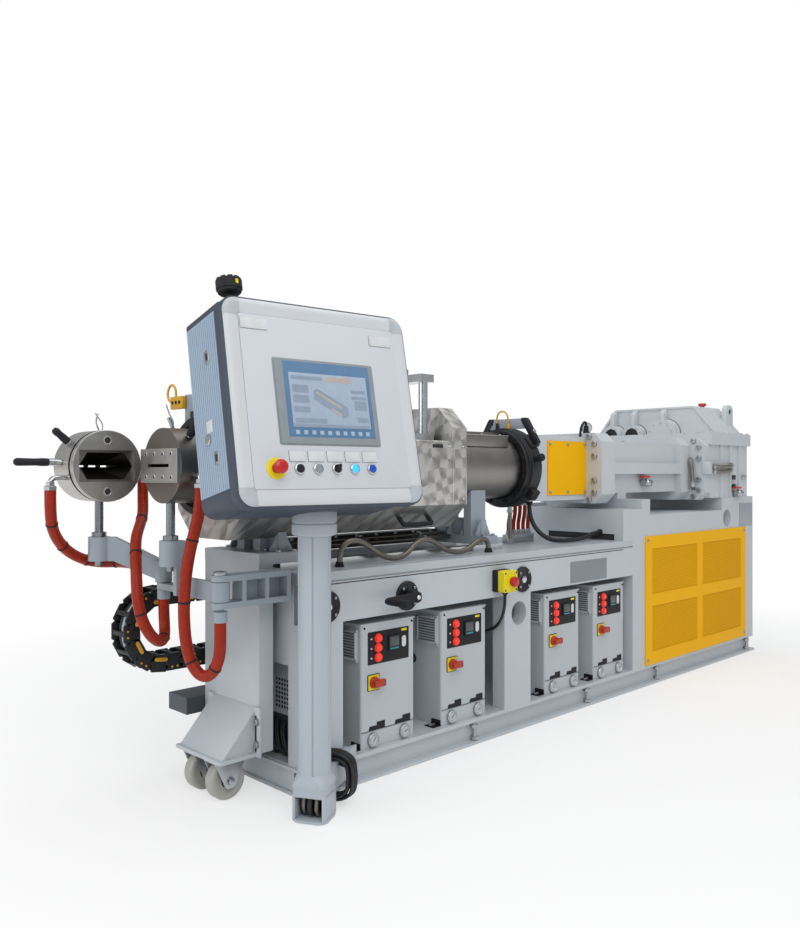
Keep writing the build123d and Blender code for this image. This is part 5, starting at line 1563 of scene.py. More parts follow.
@dataclass
class Casters:
    """Wedge bracket with gussets, slotted side flanges, zinc forks and two turned wheels."""

    back: float = -1745.0
    tip: float = -1876.0
    sides: Flat = (-150.0, 100.0)
    low: float = 131.0
    high: float = 281.0
    axle: Flat = (-1825.0, 62.5)
    rows: Flat = (-88.0, 38.0)

    def build(self) -> None:
        """Makes the bracket, the forks and the wheels."""
        form = Form()
        y0, y1 = self.sides
        slope = [(self.tip, self.low + 12), (self.back - 8, self.high), (self.back, self.high + 6),
                 (self.back, self.high - 6), (self.tip + 10, self.low + 8)]
        form.prism(slope, -y1, -y0, GREY_PAINT, UPRIGHT, 1.5)
        gusset = [(self.tip + 6, self.low + 6), (self.back, self.low + 6), (self.back, self.high - 2),
                  (self.back - 6, self.high - 4)]
        for y in (y0 + 4, y1 - 12):
            form.prism(gusset, -y - 8, -y, GREY_PAINT, UPRIGHT, 0.8)
        form.box((self.tip - 12, self.back), (y0 - 8, y1 + 8), (self.low, self.low + 12), GREY_PAINT,
                 bevel=2.0)
        for a, b in ((y0 - 26, y0 + 4), (y1 - 4, y1 + 26)):
            form.box((self.back - 10, self.back - 0.3), (a, b), (self.low, self.high + 8), GREY_PAINT,
                     bevel=1.5)
            spot = Side.LEFT.at(self.back - 10, (a + b) / 2 - math.copysign(4, b), 205)
            # A dark strip in each flange: painted shade in its slot.
            form.prism(rounded(9, 116, 4.4, 5), 0, 0.6, SHADOW, spot)
        for y in self.rows:
            for a in (y - 33.5, y + 28.5):
                plate = [(-58, self.low), (58, self.low), (20, 48), (12, 40), (-12, 40), (-20, 48)]
                form.prism([(x + self.axle[0], z) for x, z in plate], -a - 5, -a, ZINC, UPRIGHT, 0.8)
            form.box((self.axle[0] - 56, self.axle[0] + 56), (y - 34, y + 34), (self.low - 6, self.low),
                     ZINC, bevel=1.5)
            route = [(self.axle[0], y - 36, self.axle[1]), (self.axle[0], y + 36, self.axle[1])]
            form.tube(route, 7.5, ZINC)
        form.piece("caster_bracket_welded", "carriage", "grey_paint", ["caster_bracket"])
        nuts = [Side.FRONT.at(self.axle[0], y - 34, self.axle[1]) for y in self.rows]
        bolts("caster_axle_nuts", nuts, 12, "carriage", "zinc", ZINC, hex_bolt())
        heads = [Side.LEFT.at(self.back - 10.5, y, z) for y in (y0 - 15, y1 + 15) for z in (172, 244)]
        bolts("caster_bracket_bolts", heads, 10, "carriage", "zinc", ZINC, hex_bolt())
        for y, end in zip(self.rows, ("near", "far")):
            wheel = Form()
            tread = [(24, -17), (40, -17), (46, -20.5), (56, -21.5), (60.5, -19), (62.3, -14), (62.5, 0),
                     (62.3, 14), (60.5, 19), (56, 21.5), (46, 20.5), (40, 17), (24, 17)]
            place = Side.FRONT.at(self.axle[0], y, self.axle[1])
            wheel.lathe(tread, WHEEL, place, 64)
            profile = [(8.4, -22), (19, -22), (21, -20), (24.5, -16), (24.5, 16), (21, 20), (19, 22),
                       (8.4, 22)]
            wheel.lathe(profile, BLACK_PLASTIC, place, 40)
            node = f"caster_wheel_{end}"
            wheel.piece(f"{node}_turned", f"wheel_{end}", "wheel_polymer", [node])


@dataclass
class Heads:
    """Strip head with its flow channel, die head with its lip plate, and their handles and fittings."""

    axis: float = AXIS_Z
    radius: float = 118.0
    strip_x: float = -2055.0
    strip_face: float = 249.0
    strip_back: float = 399.0
    die_face: float = -1998.0
    die_back: float = -1890.0
    lip: float = -2010.0
    lever_angle: float = 40.0

    def build(self) -> None:
        """Makes both heads."""
        self.strip_head()
        self.die_head()
        self.die_plate()

    def shell(self, form: Form, place: Matrix, length: float, inner: Sequence[tuple[Sequence[Flat], float]],
              grooves: Sequence[float], skin: Finish) -> None:
        """Adds a drum with an opening that changes outline with depth.

        Args:
            form: Form that takes it.
            place: Frame with Z out of the face.
            length: Length of the drum.
            inner: Outlines of the opening and their heights, from the face to the back.
            grooves: Heights of the grooves round the drum.
            skin: Finish of the drum.
        """
        turns = spread([outline for outline, _ in inner], 72)
        r = self.radius
        outside, bands = [(r - 2, -length), (r, -length + 2)], [skin]
        # The grooves' faces take the near-black finish: painted shade in the grooves.
        for groove in sorted(grooves):
            outside += [(r, groove - 6), (r - 8, groove - 5), (r - 8, groove + 5), (r, groove + 6)]
            bands += [skin, BLACK, BLACK, BLACK]
        outside += [(r, -2), (r - 2, 0)]
        # Deeper walls of the opening take the dark bore finish: painted shade inside the opening.
        walls = [skin if z > -14.1 else BARREL_STEEL if z > -15 else BORE_SHADE_STEEL for _, z in inner[1:]]
        bands += [skin] * 3 + walls + [skin]
        rings = [[(reach * math.cos(t), reach * math.sin(t), z) for t in turns] for reach, z in outside]
        rings += [[(x, y, z) for x, y in rays(outline, turns)] for outline, z in inner]
        rings.append(rings[0])
        form.loft(rings, skin, place, bands=bands)

    def grip(self, form: Form, start: Point, way: Point, base: float, length: float, sleeve: float) -> None:
        """Adds a black grip on a bright stem.

        Args:
            form: Form that takes it.
            start: Centre of the drum.
            way: Direction out of the drum.
            base: Distance at which the stem leaves the drum.
            length: Length out of the drum.
            sleeve: Length of the bright sleeve.
        """
        place = pointing(start, way)
        profile = [(0, base - 12), (8, base - 12), (8, base + 4), (12, base + 5), (12, base + sleeve - 1),
                   (11, base + sleeve)]
        form.lathe(profile, BRIGHT, place, 24)
        tip = base + length
        grip = [(10, base + sleeve - 1), (12.4, base + sleeve + 1), (13, base + sleeve + 20),
                (11.5, base + sleeve + 40), (12.6, tip - 18), (12.2, tip - 8), (8, tip - 1.5), (0, tip)]
        form.lathe(grip, BLACK_PLASTIC, place, 24)

    def strip_head(self) -> None:
        """Open strip head: flow channel, groove, bolt seats, handles, stem and hose elbows."""
        form = Form()
        length = self.strip_back - self.strip_face
        place = Side.FRONT.at(self.strip_x, self.strip_face, self.axis)
        seat = [(-96, -52), (96, -52), (96, 52), (-96, 52)]
        hexagon = [(-92, 0), (-64, -44), (64, -44), (92, 0), (64, 44), (-64, 44)]
        slit = [(-64, -3), (64, -3), (64, 3), (-64, 3)]
        channel = [(seat, 0), (seat, -14), (hexagon, -14.2), (slit, -118), (slit, -length)]
        self.shell(form, place, length, channel, [-27], HEAD_STEEL)
        # Two dark ribs across the slit, in the bore finish: painted shade.
        for x in (-21, 21):
            form.box((x - 4, x + 4), (-4, 4), (-132, -110), BORE_SHADE_STEEL, place, 0.5)
        for y in (-84, 84):
            form.lathe([(15, 0.2), (12, 0.9), (10.5, 0.2)], HEAD_STEEL, place @ moved(0, y, 0), 28)
            # Dark disc in each seat: painted shade in the bolt hole.
            form.lathe([(10.6, 0.3), (0, 0.35)], SHADOW, place @ moved(0, y, 0), 28)
        middle = (self.strip_x, (self.strip_face + 30 + self.strip_back) / 2, self.axis)
        turn = math.radians(self.lever_angle)
        self.grip(form, middle, (-math.cos(turn), 0, math.sin(turn)), self.radius, 68, 4)
        self.grip(form, (middle[0], middle[1], middle[2] + 12), (-1, 0, 0), self.radius - 3, 152, 44)
        form.lathe(STEM, SHAFT_STEEL, moved(self.strip_x, 314, 0), 32)
        for x, z, sign in ((-2223, 982, 1), (-1905, 1012, -1)):
            bend = [(x, 300, z - 4), (x, 300, z + 22), (x + sign * 6, 300, z + 32),
                    (x + sign * 18, 300, z + 37), (x + sign * 66, 300, z + 37)]
            form.tube(bend, 8.5, BRIGHT)
            form.lathe(ELBOW_NUT, ZINC, moved(x, 300, z), 6)
        for k, dx in enumerate((-6, 4)):
            loop = [(self.strip_x + dx, 300, 1174), (self.strip_x - 4 + 2 * dx, 298, 1196),
                    (self.strip_x - 12 + dx, 296, 1214), (self.strip_x - 18 - dx, 295, 1232)]
            form.tube(loop, 2.2 if k else 2.8, BRIGHT)
        form.piece("strip_head_drum", "strip_head_arm", "head_steel", ["strip_head"])

    def die_head(self) -> None:
        """Die head drum with its handle, stem and hose elbow."""
        form = Form()
        length = self.die_back - self.die_face
        place = Side.LEFT.at(self.die_face, 0, self.axis)
        bore = circle(44, 32)
        mouth = [(-66, -7), (66, -7), (66, 7), (-66, 7)]
        channel = [(mouth, 0), (mouth, -20), (bore, -70), (bore, -length)]
        self.shell(form, place, length, channel, [-length + 14], HOT_STEEL)
        turn = math.radians(self.lever_angle)
        middle = ((self.die_face + self.die_back) / 2, 0, self.axis)
        self.grip(form, middle, (0, -math.sin(turn), math.cos(turn)), self.radius - 2, 70, 6)
        form.lathe(STEM, SHAFT_STEEL, moved(-1967, 0, 0), 32)
        route = [(-1945, -140, 988), (-1945, -140, 1016), (-1945, -134, 1025), (-1945, -122, 1029),
                 (-1945, -100, 1029)]
        form.tube(route, 8.5, BRIGHT)
        form.lathe(ELBOW_NUT, ZINC, moved(-1945, -140, 992), 6)
        form.tube([(-1950, 20, 1172), (-1948, 18, 1196), (-1958, 24, 1222), (-1966, 30, 1252)], 2.4, BRIGHT)
        profile = [(0, 0), (6, 0), (6, 44), (3, 46), (0, 46)]
        form.lathe(profile, ZINC, pointing((-1946, 16, 1168), (-0.3, 0.2, 0.9)), 14)
        profile = [(0, 0), (11, 0), (11, 8), (7, 9), (7, 20), (0, 20)]
        form.lathe(profile, ZINC, pointing((-1920, -112, 1040), (0, -1, -0.2)), 18)
        form.piece("die_head_drum", "head_arm", "head_steel", ["die_head"])

    def die_plate(self) -> None:
        """Lip plate with its slot and eight screws."""
        form = Form()
        place = Side.LEFT.at(self.lip, 0, self.axis)
        plate = [(-114, -53), (114, -53), (114, 53), (-114, 53)]
        slot = [(-65, -5), (65, -5), (65, 5), (-65, 5)]
        turns = spread((plate, slot), 48)
        outer, hole = rays(plate, turns), rays(slot, turns)
        thick = self.die_face - self.lip
        rings = [[(x, y, -thick) for x, y in outer], [(x, y, -1.2) for x, y in outer],
                 [(x * 0.99, y * 0.98, 0) for x, y in outer], [(x, y, 0) for x, y in hole],
                 [(x, y, -thick) for x, y in hole]]
        form.loft(rings + rings[:1], LIP_STEEL, place)
        for x in (-78, -26, 26, 78):
            for y in (-36, 36):
                spot = place @ moved(x, y, 0)
                form.lathe([(8, 0.2), (6.6, 0.8), (6, 0.3)], BRIGHT, spot, 20)
                # Dark disc in each ring: painted shade in the screw socket.
                form.lathe([(6.1, 0.35), (0, 0.4)], SHADOW, spot, 20)
        form.piece("die_lip_plate", "head_arm", "head_steel", ["die_plate"])


@dataclass
class GearLine:
    """Fittings of the feed housing, the thrust housing and the gearbox."""

    axis: float = AXIS_Z
    split: float = 1257.0
    caps: tuple[Flat, ...] = ((49.0, 87.5), (237.0, 61.0), (376.0, 61.0))
    hood: float = 1250.0
    valves: tuple[Point, ...] = ((640.0, -150.0, 984.0), (1432.0, -275.0, 920.0))

    def build(self) -> None:
        """Makes the screws, the hood's fittings, the pipes and the valves."""
        self.screws()
        self.hood_fittings()
        self.pipes()
        self.drain_valves()

    def screws(self) -> None:
        """Cap screws of both flanges, the hood's caps and rim, and the small screws of the feed guard."""
        rows = []
        for x, column, corner in ((180, 160, 132), (1072, 243, 212)):
            for sign in (-1, 1):
                rows += [Side.LEFT.at(x, sign * column, self.axis + z) for z in (-116, -58, 58, 116)]
                rows += [Side.LEFT.at(x, sign * corner, self.axis + z) for z in (-151, 151)]
        bolts("flange_cap_screws", rows, 14.5, "base", "gearbox_paint", ZINC)
        small = [Side.FRONT.at(x, -112, z) for x in (-112, 27, 166) for z in (947, 1169)]
        bolts("feed_guard_screws", small, 6.5, "base", "yellow_paint", ZINC)
        around = []
        for y, radius in self.caps:
            for k in range(5):
                turn = math.radians(18 + 36 * k)
                across, up = 0.82 * radius * math.cos(turn), 0.82 * radius * math.sin(turn)
                around.append(Side.LEFT.at(1190, y + across, self.split + up))
        bolts("bearing_cap_screws", around, 6.0, "base", "gearbox_paint", GEAR_PAINT)
        rim = [Side.TOP.at(x, -277, self.split) for x in range(1150, 1620, 74)]
        rim += [Side.TOP.at(1131, y, self.split) for y in (-210, -130, -60)]
        bolts("gearbox_rim_bolts", rim, 9.0, "base", "gearbox_paint", GEAR_PAINT, hex_bolt())

    def hood_fittings(self) -> None:
        """Ribs over the bearing caps, shaft covers, lifting lug, breather and sight windows."""
        form = Form()
        start = self.hood
        for y, radius in self.caps:
            crown = self.split + radius
            rib = [(start - 52, crown - 6), (start + 2, crown - 6), (start + 2, 1404), (start - 22, 1404),
                   (start - 48, 1386)]
            form.prism(rib, -y - 13, -y + 13, GEAR_PAINT, UPRIGHT, 3.0)
            # A dark ring just round each cap: painted shade at its edge.
            form.prism(arch(radius + 8, 24, (y, self.split)), start - 0.8, start + 1, SHADOW, ACROSS)
            cap = arch(radius + 5, 24, (y, self.split))
            form.prism(cap, start - 12, start + 1, GEAR_PAINT, ACROSS, 1.5)
        for y in (237, 376):
            form.prism(arch(42, 16, (y, self.split)), 1187.5, 1191, BLACK, ACROSS, 0.6)
        lug = [(1462, 1290), (1552, 1290), (1552, 1404), (1530, 1428), (1484, 1428), (1462, 1406)]
        form.prism(lug, 186, 214, GEAR_PAINT, UPRIGHT, 2.5)
        eye = Side.FRONT.at(1507, -214, 1390)
        form.lathe([(21, -0.5), (20, 1.6), (15, 2.0), (14, 0.4)], GEAR_PAINT, eye, 28)
        # Dark disc in the lug's eye: painted shade in the hole.
        form.lathe([(14.2, 0.5), (0, 0.6)], SHADOW, eye, 28)
        breather = moved(1400, -100, 1414)
        profile = [(0, 0), (12, 0), (12, 8), (21, 9), (22, 12), (22, 22), (20, 25), (0, 26)]
        form.lathe(profile, RED_PLASTIC, breather, 28)
        edge = [(-262, 1257), (-128, 1416.5), (381, 1416.5), (507, 1257), (490, 1257), (372, 1404),
                (-120, 1404), (-245, 1257)]
        form.prism(edge, start - 6, start + 2, GEAR_PAINT, ACROSS, 1.2)
        for x, z in ((1402, 1010), (1402, 960), (1540, 1010)):
            form.prism(rounded(46, 26, 3, 3), 0, 2.5, BLACK if x < 1500 else ZINC,
                       Side.FRONT.at(x, -285.4, z), 0.6)
        form.prism(rounded(172, 132, 3, 3), 0, 1.6, ARM_PAINT, Side.FRONT.at(1560, -285, 796), 0.4)
        form.piece("gearbox_fittings", "base", "gearbox_paint")

    def pipes(self) -> None:
        """Braided oil lines with unions, a pressure gauge and a plug on the feed flange."""
        form = Form()
        lines = ([(1068, -196, 1110), (1050, -206, 1104), (1046, -212, 1062), (1050, -216, 1004),
                  (1052, -214, 966), (1068, -214, 950)],
                 [(1104, -280, 1050), (1120, -300, 1048), (1190, -306, 1042), (1280, -304, 1044),
                  (1340, -300, 1050), (1352, -284, 1052)],
                 [(1104, -280, 1072), (1120, -300, 1072), (1200, -308, 1068), (1290, -306, 1070),
                  (1346, -300, 1074), (1358, -284, 1076)])
        for line in lines:
            form.tube(line, 11.0, BRAID)
            for point, other in ((line[1], line[2]), (line[-2], line[-3])):
                way = Vector(other) - Vector(point)
                profile = [(0, -6), (15, -6), (15, 8), (13, 10), (13, 22), (11, 24)]
                form.lathe(profile, ZINC, pointing(point, tuple(way)), 6)
        form.box((1064, 1108), (-302, -262), (1030, 1096), GEAR_PAINT, bevel=2.0)
        form.box((1348, 1366), (-300, -284), (1036, 1092), BRASS, bevel=2.0)
        gauge = moved(262, -70, 1227)
        form.lathe([(0, -2), (11, -2), (11, 8), (7, 10), (7, 22), (0, 22)], BRASS, gauge, 6)
        dial = pointing((262, -58, 1257), (-0.62, -0.78, 0.0))
        form.lathe([(0, -4), (27, -4), (27, 14), (25.5, 17), (23.5, 17.2), (22.6, 15)], BRIGHT, dial, 36)
        form.lathe([(22.8, 15), (0, 15.1)], DIAL, dial, 32)
        outline = [(-1.3, -5), (1.3, -5), (0.6, 17), (-0.6, 17)]
        form.prism(outline, 15.3, 16, BLACK_PLASTIC, dial @ Matrix.Rotation(0.9, 4, "Z"))
        plug = moved(205, -96, 1226)
        profile = [(0, -2), (15, -2), (15, 6), (12, 8), (12, 34), (9, 38), (0, 40)]
        form.lathe(profile, BLACK_PLASTIC, plug, 20)
        route = [(205, -96, 1262), (196, -100, 1278), (172, -104, 1276), (150, -104, 1250),
                 (148, -100, 1204)]
        form.tube(route, 6, BLACK_PLASTIC)
        form.piece("oil_lines_and_gauge", "base", "zinc")

    def drain_valves(self) -> None:
        """Ball valves with red levers."""
        form = Form()
        for x, wall, z in self.valves:
            out = Side.FRONT.at(x, wall, z)
            form.lathe([(0, -4), (19, -4), (19, 5), (13, 6), (13, 30), (0, 31)], ZINC, out, 24)
            run = pointing((x - 36, wall - 26, z), (1, 0, 0))
            profile = [(0, 0), (17, 0), (17, 12), (13, 13), (13, 20), (19, 26), (19, 46), (13, 52),
                       (13, 59), (17, 60), (17, 72), (0, 72)]
            form.lathe(profile, ZINC, run, 8)
            post = moved(x, wall - 26, z)
            form.lathe([(9, 14), (9, 22), (5, 23), (5, 34), (0, 34)], ZINC, post, 16)
            form.prism(rounded(84, 22, 9, 5, (-20, 0)), 26, 37, RED_PLASTIC, post, 3.0)
            form.lathe([(0, 36), (9, 36), (9, 40), (7, 41.5), (0, 41.5)], ZINC, post, 6)
        form.piece("ball_valves", "base", "zinc", ["drain_valves"])


@dataclass
class BarrelLine:
    """Fittings of the barrel carriage: clamp ring, guard, stands and pipes."""

    axis: float = AXIS_Z
    ring: Flat = (-356.0, -257.0)
    stands: Flat = (-1675.0, -643.0)
    stand_length: float = 93.0
    foot: float = 775.3
    guard_side: float = -198.0

    def build(self) -> None:
        """Makes every fitting."""
        self.clamp()
        self.nose()
        self.duct()
        self.guard()
        self.stand_ribs()
        self.service_pipes()

    def clamp(self) -> None:
        """Turned clamp ring with lugs and bolts, and the plate and hoop on the bridge."""
        form = Form()
        start, end = self.ring
        across = pointing((start, 0, self.axis), (1, 0, 0))
        wide = end - start
        profile = [(140, 0), (164, 0), (168, 4), (168, 22), (171, 26), (175, 27), (178, 31),
                   (178, wide - 8), (174, wide), (140, wide), (140, 0)]
        form.lathe(profile, BLACK, across, 80)
        for turn in (38, 142, 218, 322):
            spot = moved(start + 62, 0, self.axis) @ spun(turn, "X")
            reach = (170, 206) if turn in (218, 322) else (168, 188)
            form.box((-26, 26), reach, (-24, 24), BLACK, spot, 4.0)
        profile = [(0, -6), (12, -6), (12, 16), (17, 18), (17, 34), (14, 38), (0, 38)]
        form.lathe(profile, BLACK_PLASTIC, pointing((start + 60, -172, 1096), (0, -1, 0.25)), 20)
        form.piece("clamp_ring_turned", "base", "black_oxide", ["clamp_ring"])
        self.bridge()
        heads = []
        for k in range(12):
            turn = 2 * math.pi * (k + 0.5) / 12
            heads.append(Side.LEFT.at(start, 153 * math.cos(turn), self.axis + 153 * math.sin(turn)))
        bolts("clamp_ring_screws", heads, 8.0, "base", "black_oxide", BLACK)

    def bridge(self) -> None:
        """Two black arms over the clamp ring, with a bored plate between them and a yellow sensor lead."""
        form = Form()
        bend = ((160, 1150), (172, 1172), (112, 1272), (104, 1281), (80, 1281), (80, 1268), (150, 1158))
        for sign in (-1, 1):
            arm = [(sign * y, z) for y, z in bend]
            form.prism(arm, -286, -262, BLACK, ACROSS, 2.0)
            profile = [(0, -1), (10, -1), (10, 5), (8, 7), (0, 7)]
            form.lathe(profile, ZINC, pointing((-274, sign * 143, 1218), (0, sign * 0.86, 0.51)), 6)
        plate = [(-112, 1232), (112, 1232), (112, 1270), (104, 1279), (-104, 1279), (-112, 1270)]
        form.prism(plate, -282, -276, ARM_PAINT, ACROSS, 1.2)
        for y in (-88, 88):
            form.lathe([(7.5, -0.4), (6.5, 0.5), (5.5, 0.2)], ARM_PAINT, Side.LEFT.at(-282, y, 1258), 20)
            # Dark disc in each bore: painted shade in the hole.
            form.lathe([(5.6, 0.2), (0, 0.25)], SHADOW, Side.LEFT.at(-282, y, 1258), 20)
        lead = [(-288, 54, 1256), (-289, 54, 1286), (-290, 44, 1306), (-290, 22, 1314), (-290, 0, 1304),
                (-289, -10, 1280), (-288, -11, 1250)]
        form.tube(lead, 3.8, CHAIN_YELLOW)
        form.lathe([(0, 0), (8, 0), (8, 24), (5, 28), (0, 28)], CHAIN_YELLOW, moved(-288, -11, 1228), 14)
        form.lathe([(0, 0), (7, 0), (7, 22), (4, 26), (0, 26)], BLACK_PLASTIC, moved(-288, 54, 1236), 14)
        form.piece("clamp_bridge_arms", "base", "black_oxide", ["clamp_bridge"])

    def nose(self) -> None:
        """Black ring at the front of the barrel, with a bracket, a yellow sensor plug and its lead."""
        form = Form()
        front = pointing((-1880, 0, self.axis), (1, 0, 0))
        profile = [(135.6, 0), (156, 0), (160, 4), (160, 36), (156, 40), (135.6, 40), (135.6, 0)]
        form.lathe(profile, BLACK, front, 72)
        form.box((-1874, -1846), (-44, 44), (1212, 1236), BLACK, bevel=4.0)
        bracket = [(30, 1206), (84, 1190), (84, 1292), (46, 1292), (30, 1270)]
        form.prism(bracket, -1868, -1862, ARM_PAINT, ACROSS, 1.0)
        form.box((-1884, -1868.5), (74, 152), (1246, 1288), CHAIN_YELLOW, bevel=3.0)
        for y in (92, 114, 136):
            profile = [(6, -0.5), (6, 1.5), (4, 2.2), (0, 2.2)]
            form.lathe(profile, BLACK_PLASTIC, Side.LEFT.at(-1884, y, 1268), 16)
        lead = [(-1876, 150, 1268), (-1878, 168, 1278), (-1879, 176, 1300), (-1878, 166, 1322),
                (-1877, 146, 1328), (-1876, 130, 1312), (-1876, 126, 1286)]
        form.tube(lead, 4.0, CHAIN_YELLOW)
        for y in (-60, 60):
            profile = [(0, 0), (11, 0), (11, 9), (8, 11), (0, 11)]
            form.lathe(profile, ZINC, pointing((-1860, 1.95 * y, self.axis + 112), (0, y, 56)), 6)
        form.box((-800, -412), (-108, -62), (1146, 1194), BARREL_STEEL, bevel=1.5)
        form.box((-800, -411), (-111, -59), (1193, 1197), LIP_STEEL, bevel=0.8)
        for x in (-700, -560, -440):
            form.lathe([(0, -1), (6, -1), (6, 3), (4.5, 4.5), (0, 4.5)], ZINC, moved(x, -85, 1197), 6)
        form.piece("barrel_nose_ring", "carriage", "black_oxide")

    def duct(self) -> None:
        """Cable duct with lid clips and two cooling pipes between the stands, under the guard."""
        form = Form()
        form.box((-1576, -650), (92, 148), (746, 792), BLACK, bevel=2.0)
        form.box((-1578, -648), (88, 152), (791, 796), DARK_PAINT, bevel=1.0)
        for k in range(9):
            x = -1540 + 105 * k
            form.box((x, x + 14), (86.5, 90), (762, 797), ZINC, bevel=0.6)
        for y, z in ((20, 768), (52, 782)):
            route = [(-1578, y, z), (-1380, y, z), (-1330, y - 6, z + 8), (-1280, y, z), (-648, y, z)]
            form.tube(route, 8.0, CONDUIT)
            for x in (-1470, -1120, -800):
                profile = [(8.2, -8), (12, -7), (12, 7), (8.2, 8)]
                form.lathe(profile, ZINC, pointing((x, y, z), (1, 0, 0)), 6)
        for x in (-1470, -1120, -800):
            form.box((x - 12, x + 12), (6, 92), (752, 760), ZINC, bevel=1.0)
        form.piece("cable_duct", "carriage", "dark_paint")

    def guard(self) -> None:
        """Handle, seam, slot and screws of the barrel guard."""
        form = Form()
        y = self.guard_side
        slope = pointing((0, -151.5, 867), (0, -0.703, -0.711))
        low = slope.to_3x3() @ Vector((0, 0, 1))
        root = Vector((0, -151.5, 867))
        bends = ((-1112, -2), (-1112, 20), (-1098, 33), (-974, 33), (-960, 20), (-960, -2))
        handle = [tuple(Vector((x, 0, 0)) + root + reach * low) for x, reach in bends]
        form.tube(handle, 8.5, BLACK_PLASTIC, Matrix(), 14, 4)
        # Dark strips along the seam and a dark slot: painted shade.
        form.box((-1298.5, -1295.5), (y - 0.5, y + 1), (913, 1155), SHADOW)
        sloped = Matrix(((1, 0, 0, 0), (0, -1.0109, 0, 725.4), (0, 1, 0, 0), (0, 0, 0, 1)))
        outline = [(-1298.5, 820.5), (-1295.5, 820.5), (-1295.5, 913), (-1298.5, 913)]
        form.prism(outline, 0, 1, SHADOW, sloped)
        form.prism(rounded(58, 14, 3, 3), -1, 0.6, SHADOW, Side.FRONT.at(-952, y, 1138))
        form.box((-868, -864.6), (y - 1.2, y + 1), (913, 1211), BRIGHT, bevel=0.4)
        form.box((-790, -786.4), (y - 1.2, y + 1), (913, 1211), BRIGHT, bevel=0.4)
        profile = [(13, 730.2), (21, 730.4), (21, 738), (17, 742), (0, 742.4)]
        form.lathe(profile, ZINC, moved(-1930, -227, 0), 28)
        form.piece("guard_fittings", "carriage", "guard_steel")
        screws = [Side.FRONT.at(x, y, z) for x in (-1812, -1560, -1318, -1276, -1080, -884, -806)
                  for z in (932, 1136)]
        bolts("guard_screws", screws, 5.5, "carriage", "guard_steel", BRIGHT)

    def stand_ribs(self) -> None:
        """Gussets and foot bolts of both stands."""
        form = Form()
        spots = []
        gusset = ((15, 0), (44, 0), (44, 8), (15, 62))
        for start in self.stands:
            middle = start + self.stand_length / 2
            for y in (-118, -40, 40, 118):
                for sign in (-1, 1):
                    rib = [(middle + sign * reach, self.foot + z) for reach, z in gusset]
                    form.prism(rib if sign > 0 else rib[::-1], -y - 5, -y + 5, ARM_PAINT, UPRIGHT, 1.0)
            form.box((middle - 16.5, middle + 16.5), (-127, 127), (self.foot, self.foot + 64), ARM_PAINT,
                     bevel=1.5)
            spots += [Side.TOP.at(middle + dx, y, self.foot) for dx in (-32, 32)
                      for y in (-148, -80, 80, 148)]
        form.piece("stand_gussets", "carriage", "dark_paint")
        bolts("stand_foot_bolts", spots, 9.0, "carriage", "zinc", ZINC, hex_bolt())

    def service_pipes(self) -> None:
        """Manifold under the feed housing with five red pipes and a braided line."""
        form = Form()
        form.box((-246, -70), (10, 58), (715, 752), ZINC, bevel=3.0)
        for x in (-230, -194, -158, -122, -86):
            form.tube([(x, 34, 752), (x, 34, 800), (x + 6, 30, 850), (x + 4, 26, 908)], 9.0, HOSE_RED)
            for dx, y, z in ((0, 34, 752), (3, 28, 884)):
                nut = [(0, 0), (14, 0), (14, 11), (12, 12), (12, 22), (0, 22)]
                form.lathe(nut, ZINC, moved(x + dx, y, z), 6)
        form.tube([(-300, -30, 715), (-300, -30, 760), (-303, -32, 820), (-302, -30, 886)], 9.0, BRAID)
        for x, z in ((-300, 715), (-302, 858)):
            form.lathe(UNION, ZINC, moved(x, -30, z), 6)
        form.piece("service_pipes", "base", "zinc")


